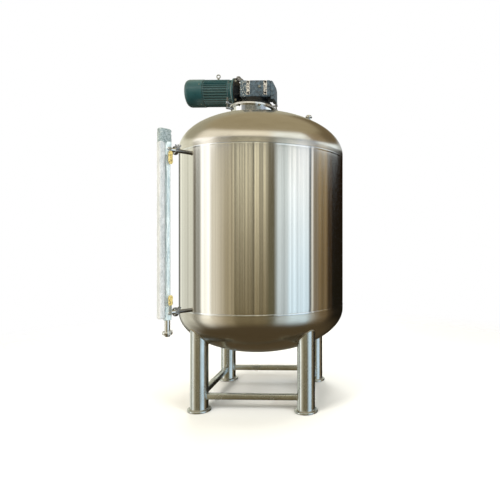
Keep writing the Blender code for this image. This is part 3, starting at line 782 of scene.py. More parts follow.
def makeStudio():
    makeWorld()
    for name, (spot, target, size, watts, colour) in studio["lights"].items():
        lamp = bpy.data.lights.new(name, "AREA")
        lamp.shape, lamp.size, lamp.energy = "DISK", size, watts
        lamp.color = linear(colour)[:3]
        made = bpy.data.objects.new(name, lamp)
        made.location = spot
        made.rotation_euler = (Vector(target) - Vector(spot)).to_track_quat("-Z", "Y").to_euler()
        made.visible_glossy = False
        bpy.context.scene.collection.objects.link(made)
    mesh = bpy.data.meshes.new("studioFloor")
    shape = spun([(0, 0), (studio["floorRadius"], 0)], 96)
    shape.to_mesh(mesh)
    shape.free()
    mesh.materials.append(paleFloor())
    floor = bpy.data.objects.new("studioFloor", mesh)
    floor.visible_glossy = False
    bpy.context.scene.collection.objects.link(floor)
    bpy.context.scene.view_settings.view_transform = "Standard"


makeCamera()
makeStudio()
print("camera and studio made")


# Vessel

vessel = {
    "steps": 256, "rows": 36, "headArcs": 40, "inset": 0.001,  # plates stand this far inside the solid's side
    "wall": 0.008, "neckWall": 0.006, "waver": 0.00025, "waverSize": (0.30, 0.9),
    "seamWidth": 0.018, "seamRise": {"top_head": 0.0002, "bottom_head": 0.0009},
    # the weld's shrinking pulls the plate's edge in
    "drawIn": {"top": 0.0004, "bottom": 0.0011}, "drawReach": 0.022,
}


def makeVessel():
    radius = tankRadius - vessel["inset"]
    inner = tankRadius - vessel["wall"]
    steps = vessel["steps"]

    def plateRing(reach, height):
        # rolled sheet is never quite round, which makes the mirrored bands waver a little
        ring = []
        for k in range(steps):
            angle = 2 * math.pi * k / steps
            wide, tall = vessel["waverSize"]
            sample = Vector((math.cos(angle) / wide, math.sin(angle) / wide, height / tall))
            away = reach - vessel["waver"] * (1 + noise.noise(sample))
            for edge, end in ((height - shellLow, "bottom"), (shellHigh - height, "top")):
                away -= vessel["drawIn"][end] * math.exp(-(edge / vessel["drawReach"]) ** 2)
            ring.append((away * math.cos(angle), away * math.sin(angle), height))
        return ring

    rows = vessel["rows"]
    rings = [ringOf(inner, shellLow, steps)]
    heights = [shellLow + (shellHigh - shellLow) * k / rows for k in range(rows + 1)]
    close = [vessel["drawReach"] * share for share in (0.3, 0.6, 0.9, 1.2)]
    heights += [shellLow + step for step in close] + [shellHigh - step for step in close]
    rings += [plateRing(radius, height) for height in sorted(heights)]
    rings += [ringOf(inner, shellHigh, steps)]
    shell = moved(loft(rings, endless=True), at(axis.x, axis.y))
    piece("shellPlate", shell, mirrorSteel, ["shell"])

    for name, way, seam in (("top_head", 1, shellHigh), ("bottom_head", -1, shellLow)):
        rise = vessel["seamRise"][name]
        start = seam + way * 0.0003
        knuckle = seam + way * headFlange
        outside, inside = [(radius, start)], [(inner, start)]
        innerDepth = headDepth - vessel["wall"]
        for k in range(vessel["headArcs"] + 1):
            angle = 0.5 * math.pi * k / vessel["headArcs"]
            outside.append((radius * math.cos(angle), knuckle + way * headDepth * math.sin(angle)))
            inside.append((inner * math.cos(angle), knuckle + way * innerDepth * math.sin(angle)))
        outside[-1] = (0, outside[-1][1])
        inside[-1] = (0, inside[-1][1])
        head = moved(spun(inside[::-1] + outside, steps), at(axis.x, axis.y))
        if way > 0:
            head = carved(head, neckOpening())
        piece(name + "Plate", head, headSteel, [name])

        # seam weld, ground and polished to a low rounded band
        half = vessel["seamWidth"] / 2
        band = [(radius - 0.004, seam)]
        for k in range(9):
            share = k / 4 - 1  # from the band's lower edge to its upper one
            band.append((radius + rise * (1 - 1.6 * share ** 2), seam + half * share))
        piece(name + "Seam", moved(spun(band, steps, closed=True), at(axis.x, axis.y)), fittingSteel)


def neckOpening():
    # plain rod through the dome, well past it at both ends
    centre, reach = middleOf("neck"), halfOf("neck").x - vessel["neckWall"]
    low, high = centre.z - 0.4, centre.z + 0.3
    return moved(spun([(0, low), (reach, low), (reach, high), (0, high)], 96), at(centre.x, centre.y))


makeVessel()
print("vessel made")


# Legs, feet and braces

legs = {
    "steps": 64, "topWeld": 0.0050, "footWeld": 0.0040, "weldStep": 0.0035, "footEdge": 0.0060,
    "corners": ("front_left", "front_right", "back_left", "back_right"),
}
braces = {"edge": 0.006, "weld": 0.0035, "into": 0.0045}


def makeLegs():
    for corner in legs["corners"]:
        leg = "leg_" + corner
        centre, low = middleOf(leg), lowOf(leg).z
        circle = circleAt(centre, halfOf(leg).x, legs["steps"])
        tops = [headAt(x, y, -1) for x, y in circle]
        rings = [[(centre.x, centre.y, low)]]
        rings += [[(x, y, low + (top - low) * share) for (x, y), top in zip(circle, tops)]
                  for share in (0, 0.25, 0.5, 0.75, 1)]
        rings += [[(centre.x, centre.y, headAt(centre.x, centre.y, -1))]]
        piece(leg + "Pipe", loft(rings), pipeSteel, [leg])

        path = evenly([(x, y, top - 0.001) for (x, y), top in zip(circle, tops)], legs["weldStep"])
        top = weldBead(path, legs["topWeld"])
        path = evenly([(x, y, low + 0.001) for x, y in circle], legs["weldStep"])
        base = weldBead(path, legs["footWeld"])
        piece(leg + "Welds", joined([top, base]), weldSteel)

        foot = "foot_" + corner
        plate = disc(halfOf(foot).x, 0, highOf(foot).z, legs["footEdge"], 4, 72)
        piece(foot + "Plate", moved(plate, at(centre.x, centre.y)), pipeSteel, [foot])


def makeBraces():
    radius = halfOf("leg_front_left").x
    reach = abs(middleOf("leg_front_left").x - axis.x)
    height = middleOf("brace_front").z
    half = halfOf("brace_front").y
    length = reach - radius + braces["into"]
    for side, angle in (("front", 0), ("right", 90), ("back", 180), ("left", 270)):
        place = at(axis.x, axis.y, height) @ turn(angle)
        bar = slab((-length, -reach - half, -half), (length, -reach + half, half), braces["edge"], 3)
        piece("brace_" + side + "Bar", moved(bar, place), pipeSteel, ["brace_" + side])
        beads = []
        for end in (-1, 1):
            square = [(half, half), (-half, half), (-half, -half), (half, -half)]
            square = softened(square, braces["edge"], closed=True)
            path = [(end * (reach - math.sqrt(radius ** 2 - y * y)), y - reach, z) for y, z in square]
            beads.append(weldBead(evenly(path, legs["weldStep"]), braces["weld"]))
        piece("brace_" + side + "Welds", moved(joined(beads), place), weldSteel)


makeLegs()
makeBraces()
print("legs and braces made")


# Neck, cover and swing bolts

neck = {
    "steps": 160, "sunk": 0.002, "flare": 0.018, "flareRows": 8, "lip": 0.0012, "bevel": 0.0011,
    "bolts": 6, "boltCircle": 0.2115, "across": 0.018, "screw": 0.0055,
}


def makeNeck():
    centre, radius = middleOf("neck"), halfOf("neck").x
    high = highOf("neck").z
    steps = neck["steps"]
    inner = radius - vessel["neckWall"]
    rings = []
    for reach, shares in ((inner, (1, 0)), (radius, (0, 0.33, 0.66, 1))):
        for share in shares:
            ring = []
            for x, y in circleAt(centre, reach, steps):
                foot = headAt(x, y, 1) - neck["sunk"]
                ring.append((x, y, foot + (high - foot) * share))
            rings.append(ring)
    piece("neckPipe", loft(rings, endless=True), fittingSteel, ["neck"])

    def onDome(reach, lift):
        # ring round the neck's axis that follows the dome, raised by lift
        return [Vector((x, y, headAt(x, y, 1) + lift)) for x, y in circleAt(centre, reach, steps)]

    # collar drawn up from the dome: a smooth hollow curve from the dome into the pipe
    flare, rows = neck["flare"], neck["flareRows"]
    pipe = radius + 0.0006
    feet, corners, tops = onDome(radius + flare, 0.0004), onDome(pipe, 0), onDome(pipe, flare)
    rings = []
    for row in range(rows + 1):
        share = row / rows
        rings.append([foot * (1 - share) ** 2 + corner * 2 * share * (1 - share) + top * share ** 2
                      for foot, corner, top in zip(feet, corners, tops)])
    rings.append(onDome(radius - neck["sunk"], -0.003))
    piece("neckCollar", loft(rings, endless=True), fittingSteel)

    for name, hole in (("neck_flange", inner), ("cover_plate", 0.0)):
        low, high, reach = lowOf(name).z, highOf(name).z, halfOf(name).x
        outline = [(hole, low), (reach, low), (reach - neck["bevel"], high), (hole, high)]
        plate = spun(softened(outline, neck["lip"], closed=hole > 0), steps, closed=hole > 0)
        piece(name + "Ring", moved(plate, at(centre.x, centre.y)), fittingSteel, [name])

    low, high = lowOf("neck_flange").z, highOf("cover_plate").z
    nut = moved(hexPrism(neck["across"], 0, 0.010), at(neck["boltCircle"], 0, low) @ turn(180, "X"))
    tip = moved(threaded(neck["screw"], low - 0.014, low - 0.006, 0.002, 16), at(neck["boltCircle"]))
    cap = moved(hexPrism(neck["across"], 0, 0.0045), at(neck["boltCircle"], 0, high))
    bolts = copied(joined([nut, tip, cap]), around(neck["bolts"], 120))
    piece("coverBolts", moved(bolts, at(centre.x, centre.y)), zincSteel)


swing = {
    "stud": 0.008, "halfWidth": 0.014, "lug": 0.020, "pin": 0.006, "nutAcross": 0.024, "nutHeight": 0.016,
}


def makeSwingBolts():
    neckMiddle = middleOf("neck")
    for side in ("left", "right"):
        name = "swing_bolt_" + side
        low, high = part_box(name)
        circle, angle = swingSpot(name, neckMiddle)
        place = at(neckMiddle.x, neckMiddle.y) @ Matrix.Rotation(angle, 4, "Z")
        half = swing["halfWidth"]
        lugLow, coverTop = low.z, highOf("cover_plate").z + 0.0003
        nutLow = coverTop + 0.006
        pinAt = lugLow + swing["lug"] / 2
        lug = slab((halfOf("neck").x + 0.0005, -half, lugLow),
                   (circle + half, half, lugLow + swing["lug"]), 0.005, 3)
        plate = slab((halfOf("cover_plate").x - half, -half, coverTop),
                     (circle + half, half, nutLow + 0.001), 0.0025)
        pin = disc(swing["pin"], -half - 0.004, half + 0.004, 0.001, steps=20)
        pin = moved(pin, at(circle, 0, pinAt) @ toY)
        stud = moved(threaded(swing["stud"], pinAt, high.z), at(circle))
        nut = moved(hexPrism(swing["nutAcross"], nutLow, nutLow + swing["nutHeight"]), at(circle))
        bolt = joined([lug, plate, pin, stud, nut])
        # swing bolts in the darker stainless copy: painted dark reflection
        piece(name + "Set", moved(bolt, place), clampSteel, [name])


def swingSpot(name, middle):
    # distance and turn of a swing bolt's stud, from the topmost points of its solid
    corners = [vertex.co for vertex in frame["nodes"][name].data.vertices]
    top = max(corner.z for corner in corners)
    tips = [corner for corner in corners if top - corner.z < 0.0005]
    spot = sum(tips, Vector()) / len(tips) - middle
    return math.hypot(spot.x, spot.y), math.atan2(spot.y, spot.x)


makeNeck()
makeSwingBolts()
print("neck made")


# Gearbox

gearbox = {
    "edge": 0.012, "stripWidth": 0.034, "stripProud": 0.005, "strips": (-0.127, 0.042), "stripEdge": 0.004,
    "holes": (3.0895, 2.982), "holeRadius": 0.0105, "holeDepth": 0.010,
    "plug": (-0.014, 3.044), "plugAcross": 0.019,
    "flangeBolts": 8, "flangeCircle": 0.155, "flangeAcross": 0.019,
    "halfWidth": 0.100, "coverEdge": 0.004, "coverRise": 0.080, "step": 0.038, "hub": (0.140, 0.120),
    "holeShadeDepth": 0.0035, "breather": (-0.10, 0.03),  # along the housing, and behind its middle
}


def makeGearbox():
    centre = middleOf("gearbox_flange")
    low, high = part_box("gearbox_flange")
    reach = halfOf("gearbox_flange").x
    step = low.z + gearbox["step"]
    hubLow, hubHigh = gearbox["hub"]
    profile = [(0, low.z), (reach, low.z), (reach, step - 0.012), (reach - 0.012, step), (hubLow, step),
               (hubHigh, high.z), (0, high.z)]
    flange = moved(turned(profile, 0.004, steps=96), at(centre.x, centre.y))
    piece("gearbox_flangeCasting", flange, blackPaint, ["gearbox_flange"])
    bolt = moved(hexBolt(gearbox["flangeAcross"]), at(gearbox["flangeCircle"], 0, step - 0.004))
    bolts = copied(bolt, around(gearbox["flangeBolts"], 22.5))
    piece("gearbox_flangeBolts", moved(bolts, at(centre.x, centre.y)), blackPaint)

    low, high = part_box("gearbox_housing")
    half, middle = gearbox["halfWidth"], axis.y
    box = slab((low.x, middle - half, low.z), (high.x, middle + half, high.z), gearbox["edge"], 4)
    piece("gearbox_housingCasting", box, greyPaint, ["gearbox_housing"])

    strips, holes = [], []
    for x in gearbox["strips"]:
        for side in (-1, 1):
            outer = middle + side * (half + gearbox["stripProud"])
            near, far = sorted((middle + side * (half - 0.008), outer))
            width = gearbox["stripWidth"] / 2
            strip = slab((x - width, near, low.z + 0.018), (x + width, far, high.z - 0.004),
                         gearbox["stripEdge"], 3)
            hole, deep = gearbox["holeRadius"], 2 * gearbox["holeDepth"]
            drill = [(0, -deep), (hole, -deep), (hole, deep), (0, deep)]
            drills = [moved(spun(drill, 24), at(x, outer, z) @ toY) for z in gearbox["holes"]]
            strips.append(carved(strip, joined(drills)))
            # a near-black disc in each tapped hole, just under the strip's face: painted shade for the hole's
            # depth
            floor = [(0, 0), (hole + 0.0002, 0), (hole + 0.0002, 0.001), (0, 0.001)]
            for z in gearbox["holes"]:
                holes.append(moved(spun(floor, 24), at(x, outer - side * gearbox["holeShadeDepth"], z) @ toY))
    piece("gearboxPads", joined(strips), bareIron)
    piece("gearboxPadHoleShade", joined(holes), recess)

    plugX, plugZ = gearbox["plug"]
    plugs = []
    for side in (-1, 1):
        face = middle + side * half
        plugs.append(moved(hexBolt(gearbox["plugAcross"]), at(plugX, face, plugZ) @ turn(90 * -side, "X")))
    breather = joined([hexPrism(0.022, 0, 0.006), moved(disc(0.009, 0, 0.010, 0.003), at(0, 0, 0.005))])
    breatherX, behind = gearbox["breather"]
    plugs.append(moved(breather, at(breatherX, middle + behind, high.z)))
    piece("gearboxPlugs", joined(plugs), zincSteel)

    low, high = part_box("gearbox_end_cover")
    rise = gearbox["coverRise"]
    outline = [(low.x, low.z), (high.x, low.z)]
    for k in range(17):
        angle = 0.5 * math.pi * k / 16
        outline.append((low.x + 0.010 + (high.x - low.x - 0.010) * math.cos(angle),
                        high.z - rise + rise * math.sin(angle)))
    outline.append((low.x, high.z))
    cover = prism([(x, low.y, z) for x, z in outline], (0, high.y - low.y, 0))
    rims = [edge for edge in cover.edges if abs(edge.verts[0].co.y - edge.verts[1].co.y) < 1e-6]
    bmesh.ops.bevel(cover, geom=rims, offset=gearbox["coverEdge"], segments=3, profile=0.5, affect="EDGES",
                    clamp_overlap=True)
    piece("gearbox_end_coverCasting", cover, greyPaint, ["gearbox_end_cover"])


makeGearbox()
print("gearbox made")


# Motor

motor = {
    "radius": 0.132, "fins": 32, "finHeight": 0.013, "finTip": 0.13, "finRoot": 0.26, "finRounding": 0.0015,
    "ribs": 8, "flangeBolts": 4, "flangeAcross": 0.019, "flangeCircle": 0.132,
    "eyeWire": 0.0055, "eyeRing": 0.017,
    # cast ear: height of its top over the motor's axis, half width, thickness, foot's reach, depth sunk
    "ear": {"top": 0.166, "radius": 0.026, "thickness": 0.044, "foot": 0.046, "sunk": 0.024},
}
cowl = {
    "rounding": 0.045, "corner": 0.030,  # of the fan end's edge, along the axis and outwards
    "face": 0.034, "grilleRings": 7, "grilleSpokes": 8, "screwTurn": 24,
}
terminal = {"halfWidth": 0.055, "halfHeight": 0.060, "lid": 0.014, "screwsIn": 0.012}

motorHeight = middleOf("motor_flange").z
motorFlange = halfOf("motor_adapter").z
onMotor = at(0, axis.y, motorHeight) @ toX  # z runs along the motor


def makeAdapter():
    low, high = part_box("motor_adapter")
    flangeTop = low.x + 0.012
    cone = [(0, high.x), (0.072, high.x), (0.080, high.x - 0.016), (0.135, flangeTop),
            (motorFlange, flangeTop), (motorFlange, low.x), (0, low.x)]
    rib = [(0.070, high.x - 0.004), (0.082, high.x - 0.004), (0.138, low.x + 0.014), (0.128, low.x + 0.008)]
    rib = prism([(x, -0.004, z) for x, z in rib], (0, 0.008, 0))
    casting = joined([turned(cone, 0.003, steps=72), copied(rib, around(motor["ribs"], 22.5))])
    piece("motor_adapterCasting", moved(casting, onMotor), blackPaint, ["motor_adapter"])
    bolt = moved(hexBolt(motor["flangeAcross"]), at(motor["flangeCircle"], 0, flangeTop))
    piece("motor_adapterBolts", moved(copied(bolt, around(motor["flangeBolts"], 45)), onMotor), zincSteel)

    # cast lug on top of the adapter, left in bare primer
    form = motor["ear"]
    reach, half = form["radius"], form["thickness"] / 2
    centre = motorHeight + form["top"] - reach
    foot = motorHeight + motorFlange - form["sunk"]
    middle = low.x + reach + 0.003
    outline = [(middle - reach, foot), (middle + form["foot"], foot), (middle + form["foot"], foot + 0.012)]
    for k in range(13):
        angle = math.radians(20 + 160 * k / 12)
        outline.append((middle + reach * math.cos(angle), centre + reach * math.sin(angle)))
    ear = prism([(x, axis.y - half, z) for x, z in outline], (0, 2 * half, 0))
    piece("motor_adapterEar", ear, earPrimer)


def makeMotorBody():
    radius = motor["radius"]
    low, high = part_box("motor_flange")
    shield = [(0, high.x), (motorFlange, high.x), (motorFlange, high.x - 0.014),
              (radius - 0.008, high.x - 0.026), (radius - 0.008, low.x), (0, low.x)]
    lobe = slab((radius - 0.020, -0.013, low.x + 0.006), (radius + 0.006, 0.013, high.x - 0.010), 0.005, 3)
    casting = joined([turned(shield, 0.004, 4, 96), copied(lobe, around(4, 45))])
    piece("motor_flangeShield", moved(casting, onMotor), greenPaint, ["motor_flange"])

    low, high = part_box("motor_body")
    pitch, tip, root = 360 / motor["fins"], motor["finTip"], motor["finRoot"]
    ground, shoulder = radius - motor["finHeight"], radius - motor["finRounding"]
    fin = [(-root, ground), (-tip, shoulder), (-tip * 0.55, radius), (tip * 0.55, radius), (tip, shoulder),
           (root, ground)]
    outline = []
    for k in range(motor["fins"]):
        for share, reach in fin:
            angle = math.radians(k * pitch + share * pitch)
            outline.append((reach * math.cos(angle), reach * math.sin(angle), low.x))
    finned = prism(outline, (0, 0, high.x - low.x))
    ends = [disc(radius - 0.004, z, z + 0.012, 0.002, steps=96) for z in (low.x, high.x - 0.0125)]
    pad = slab((-0.055, radius - 0.03, low.x + 0.075), (0.055, radius + 0.004, low.x + 0.175), 0.004)
    boss = moved(disc(0.014, radius - 0.03, radius + 0.004, 0.0015),
                 at(middleOf("lifting_eye").x, axis.y, motorHeight))
    whole = joined([moved(joined([finned, pad] + ends), onMotor), boss])
    piece("motor_bodyFrame", whole, greenPaint, ["motor_body"])


def makeCowl():
    low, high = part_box("fan_cowl")
    reach = halfOf("fan_cowl").z
    rounding, corner = cowl["rounding"], cowl["corner"]
    guard, bend = reach - cowl["face"], reach - corner
    profile = [(reach - 0.004, high.x - 0.002), (reach - 0.001, high.x), (reach, high.x - 0.003),
               (reach, low.x + rounding)]
    for k in range(1, 13):
        angle = 0.5 * math.pi * k / 12
        profile.append((bend + corner * math.cos(angle), low.x + rounding - rounding * math.sin(angle)))
    profile += [(guard, low.x), (guard, low.x + 0.003), (reach - 0.008, low.x + rounding)]
    parts = [spun(profile, 120, closed=True)]
    # guard of rings and spokes over the fan's inlet
    rings, spokes = cowl["grilleRings"], cowl["grilleSpokes"]
    for k in range(rings):
        parts.append(sweep(ringOf(guard * (k + 0.5) / rings, low.x + 0.0025, 72), 0.0022, 8, True))
    for spoke in zip(ringOf(0.006, low.x + 0.003, spokes), ringOf(guard + 0.002, low.x + 0.003, spokes)):
        parts.append(sweep(spoke, 0.0026, 8))
    parts.append(disc(0.016, low.x + 0.0003, low.x + 0.004, 0.001, steps=32))
    piece("fan_cowlPressing", moved(joined(parts), onMotor), greenPaint, ["fan_cowl"])

    blade = slab((0.030, -0.002, low.x + 0.012), (guard - 0.004, 0.002, low.x + 0.040), 0.001)
    rim = reach - 0.010
    fan = [copied(blade, around(9)),
           spun([(0, low.x + 0.041), (rim, low.x + 0.041), (rim, low.x + 0.046), (0, low.x + 0.046)]),
           spun([(0, low.x + 0.010), (0.030, low.x + 0.010), (0.034, low.x + 0.042), (0, low.x + 0.042)], 32)]
    # the fan takes the near-black painted-shade finish: the shade inside the cowl is painted into its colour
    piece("coolingFan", moved(joined(fan), onMotor), recess)
    # the first screw is on the camera's side, a little below the middle
    screw = moved(disc(0.006, 0, 0.0035, 0.001, steps=20), at(reach - 0.0035, 0, high.x - 0.028) @ toX)
    screws = copied(screw, around(4, -90 - cowl["screwTurn"]))
    piece("fan_cowlScrews", moved(screws, onMotor), zincSteel)


def makeTerminalBox():
    low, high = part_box("terminal_box")
    middle, half, tall = middleOf("terminal_box").x, terminal["halfWidth"], terminal["halfHeight"]
    boxLow = Vector((middle - half, low.y, motorHeight - tall))
    boxHigh = Vector((middle + half, high.y, motorHeight + tall))
    lidAt = boxHigh.y - terminal["lid"]
    parts = [slab(boxLow, (boxHigh.x, lidAt - 0.0006, boxHigh.z), 0.005, 3),
             slab((boxLow.x, lidAt, boxLow.z), boxHigh, 0.004, 3)]
    piece("terminal_boxCasting", joined(parts), greenPaint, ["terminal_box"])
    inset = terminal["screwsIn"]
    spots = [at(x, boxHigh.y - 0.0012, z) for x in (boxLow.x + inset, boxHigh.x - inset)
             for z in (boxLow.z + inset, boxHigh.z - inset)]
    screws = copied(moved(disc(0.0045, 0, 0.0012, 0.0006, steps=16), toY), spots)
    piece("terminal_boxScrews", screws, zincSteel)
    seal = turned([(0, -0.020), (0.010, -0.020), (0.012, -0.012), (0, -0.012)], 0.001, steps=24)
    spot = at(boxLow.x + half, (boxLow.y + boxHigh.y) / 2, boxLow.z)
    piece("cableGland", moved(joined([hexPrism(0.022, -0.012, 0), seal]), spot), blackNylon)


def makeLiftingEye():
    eye, ring = middleOf("lifting_eye"), motor["eyeRing"]
    low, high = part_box("lifting_eye")
    ringMiddle = high.z - ring - motor["eyeWire"]
    path = [(eye.x + x, eye.y, ringMiddle + z) for x, z, _ in ringOf(ring, 0, 48)]
    shank = [(0, low.z), (0.013, low.z), (0.013, low.z + 0.005), (0.0062, low.z + 0.010),
             (0.0056, ringMiddle - ring), (0, ringMiddle - ring)]
    shank = moved(turned(shank, 0.0015, steps=28), at(eye.x, eye.y))
    eye = joined([sweep(path, motor["eyeWire"], 14, True), shank])
    piece("lifting_eyeForging", eye, zincSteel, ["lifting_eye"])


makeAdapter()
makeMotorBody()
makeCowl()
makeTerminalBox()
makeLiftingEye()
print("motor made")


# Small nozzles

nozzles = {"weld": 0.0035, "steps": 48}


def wingNut(stud):
    # upright wing nut on its stud, base at z = 0
    parts = [turned([(0, 0), (0.0085, 0), (0.0065, 0.011), (0, 0.011)], 0.001, steps=20),
             threaded(0.0038, -0.006, stud, 0.0016, 14)]
    for side in (-1, 1):
        wing = softened([(0.003, 0.002), (0.010, 0.003), (0.020, 0.014), (0.021, 0.020), (0.014, 0.021),
                         (0.007, 0.012), (0.003, 0.010)], 0.004, closed=True)
        parts.append(prism([(side * x, -0.0016, z) for x, z in wing], (0, 0.0032, 0)))
    return joined(parts)


def clampBand(inner, outer, half):
    # heavy sanitary clamp: a ring with sloped shoulders, narrower inside and outside
    profile = [(inner + 0.0006, -half * 0.55), (inner + 0.002, -half), (outer - 0.003, -half),
               (outer, -half * 0.45), (outer, half * 0.45), (outer - 0.003, half), (inner + 0.002, half),
               (inner + 0.0006, half * 0.55)]
    return spun(softened(profile, 0.0012, 2, True), 56, closed=True)


def makeNozzles():
    centre, radius = middleOf("dome_nozzle"), halfOf("dome_nozzle").x
    top = highOf("dome_nozzle").z
    circle = circleAt(centre, radius, nozzles["steps"])
    rings = [[(centre.x, centre.y, headAt(centre.x, centre.y, 1) - 0.004)],
             [(x, y, headAt(x, y, 1) - 0.002) for x, y in circle], [(x, y, top) for x, y in circle],
             [(centre.x, centre.y, top)]]
    piece("dome_nozzlePipe", loft(rings), fittingSteel, ["dome_nozzle"])
    path = evenly([(x, y, headAt(x, y, 1) + 0.0005) for x, y in circle], 0.003)
    piece("dome_nozzleWeld", weldBead(path, nozzles["weld"]), weldSteel)

    low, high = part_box("dome_nozzle_cap")
    reach = halfOf("dome_nozzle_cap").x
    lid = turned([(0, low.z + 0.0005), (reach - 0.007, low.z + 0.0005), (reach - 0.007, low.z + 0.019),
                  (0.022, low.z + 0.021), (0.021, high.z), (0, high.z)], 0.002)
    band = moved(clampBand(reach - 0.010, reach, 0.0095), at(0, 0, low.z + 0.0098))
    piece("dome_nozzle_capSet", moved(joined([lid, band]), at(centre.x, centre.y)), fittingSteel,
          ["dome_nozzle_cap"])

    low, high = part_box("bottom_outlet")
    outlet = turned([(0, high.z), (0.026, high.z), (0.026, low.z + 0.010), (0.032, low.z + 0.007),
                     (0.032, low.z), (0, low.z)], 0.0012, 2)
    piece("bottom_outletSpigot", moved(outlet, at(axis.x, axis.y)), fittingSteel,
          ["bottom_outlet"])


makeNozzles()
print("nozzles made")


# Level gauge

gauge = {
    "pipe": 0.017, "ferrule": 0.0252, "joint": 0.957, "weld": 0.003, "tube": 0.0255, "drainRim": 0.032,
    "clampHalf": 0.014, "clampThick": 0.013, "wingScale": 1.35,
    "cock": 0.031, "cockHalf": 0.046, "waist": 0.028, "stem": 0.014, "stemReach": 0.043,
}
levers = {
    "upper": {"way": -1, "length": 0.130, "sleeve": (0.022, 0.129)},
    "lower": {"way": 1, "length": 0.150, "sleeve": (0.066, 0.150)},
    "thickness": 0.005, "width": 0.018, "sleeveWidth": 0.036, "sleeveThickness": 0.014, "sleeveRows": 14,
}
onTube = onGauge @ at(gaugeRadius)


def makeBranch(name):
    place = onGauge @ at(0, 0, middleOf("gauge_nozzle_" + name).z)
    joint, pipe, ferrule = gauge["joint"], gauge["pipe"], gauge["ferrule"]
    start, end = tankRadius - 0.006, joint - 0.0002
    nozzle = turned([(0, start), (pipe, start), (pipe, joint - 0.007), (ferrule, joint - 0.0035),
                     (ferrule, end), (0, end)], 0.0015, steps=40)
    # nozzle pipe and clamp in the darker stainless copy: painted dark reflection
    piece("gauge_nozzle_" + name + "Pipe", moved(nozzle, place @ toX), clampSteel,
          ["gauge_nozzle_" + name])
    circle = [(math.sqrt(tankRadius ** 2 - y * y), y, z) for y, z, _ in ringOf(pipe + 0.001, 0, 48)]
    weld = weldBead(evenly(circle, 0.003), gauge["weld"])
    piece("gauge_nozzle_" + name + "Weld", moved(weld, place), weldSteel)

    wide = gauge["clampHalf"]
    band = moved(clampBand(ferrule, ferrule + gauge["clampThick"], wide), at(joint) @ toX)
    ears = [slab((joint - wide, ferrule + 0.004, z), (joint + wide, ferrule + 0.028, z + 0.012), 0.003, 3)
            for z in (-0.0145, 0.0025)]
    nut = moved(wingNut(0.022), at(joint, ferrule + 0.018, 0.0155) @ Matrix.Scale(gauge["wingScale"], 4))
    hinge = moved(disc(0.007, -wide, wide, 0.001, steps=20), at(joint, -ferrule - 0.010) @ toX)
    piece("gauge_clamp_" + name + "Set", moved(joined([band, nut, hinge] + ears), place), clampSteel,
          ["gauge_clamp_" + name])

    half, reach, waist = gauge["cockHalf"], gauge["cock"], gauge["waist"]
    body = turned([(0, -half), (reach - 0.004, -half), (reach, -half + 0.008), (reach, -0.022),
                   (waist, -0.018), (waist, 0.018), (reach, 0.022), (reach, half - 0.008),
                   (reach - 0.004, half), (0, half)], 0.003)
    start, end = joint + 0.0002, gaugeRadius - 0.02
    arm = turned([(0, start), (ferrule, start), (ferrule, joint + 0.0035), (pipe, joint + 0.007),
                  (pipe, end), (0, end)], 0.0015, steps=40)
    thin, end = gauge["stem"], gauge["stemReach"]
    stem = turned([(0, 0.004), (0.020, 0.004), (0.020, 0.030), (thin, 0.032), (thin, end), (0, end)],
                  0.0015, 2, 32)
    cock = joined([moved(body, at(gaugeRadius)), moved(arm, toX), moved(stem, at(gaugeRadius) @ toY)])
    piece("gauge_cock_" + name + "Casting", moved(cock, place), fittingSteel,
          ["gauge_cock_" + name])
    makeLever(name, place @ at(gaugeRadius))


def makeLever(name, place):
    form = levers[name]
    way, lever = form["way"], name + "_lever"
    near = gauge["stemReach"] + 0.0003
    middle = near + 0.008
    hub = moved(joined([disc(0.013, near, near + 0.009, 0.001, steps=28),
                        hexPrism(0.019, near + 0.008, near + 0.016)]), toY)
    # flat bar with rounded ends
    thick, wide, end = levers["thickness"] / 2, levers["width"] / 2, form["length"] - 0.002
    outline = [(-wide * 0.8, 0), (wide * 0.8, 0), (wide, 0.02), (wide, end), (-wide, end), (-wide, 0.02)]
    outline = softened(outline, 0.007, 4, True)
    shank = prism([(x, middle - thick, way * z) for x, z in outline], (0, 2 * thick, 0))
    piece("gauge_lever_" + name + "Bar", moved(joined([hub, shank]), place), zincSteel,
          ["gauge_lever_" + name], body=lever)

    start, stop = form["sleeve"]
    broad, deep = levers["sleeveWidth"] / 2, levers["sleeveThickness"] / 2
    rings = [[(0, middle, way * start)]]
    for k in range(levers["sleeveRows"] + 1):
        share = k / levers["sleeveRows"]
        # soft ends, and a waist for the fingers
        pinch = min(1.0, 0.62 + 3.2 * min(share, 1 - share)) * (1 - 0.06 * math.cos(4 * math.pi * share))
        ring = [squircle(2 * math.pi * j / 24, broad * pinch, deep * pinch) for j in range(24)]
        rings.append([(x, middle + y, way * (start + (stop - start) * share)) for x, y in ring])
    rings.append([(0, middle, way * stop)])
    piece("gauge_lever_" + name + "Sleeve", moved(loft(rings), place), sleeveVinyl,
          body=lever)


wrap = {
    "around": 56, "endReach": 0.010,
    "bunchHeight": 0.125, "topDrop": 0.015, "capReach": 0.030, "cockReach": 0.0365, "cockHalf": 0.060,
    # depth and size of the folds, start in the noise, rows
    "foam": (0.0035, 0.028, 3.1, 260), "tube": (0.0022, 0.020, 9.4, 220), "cap": (0.006, 0.016, 21.7, 60),
    "bunch": (0.0045, 0.018, 5.3, 90), "cock": (0.004, 0.020, 13.9, 70),
}


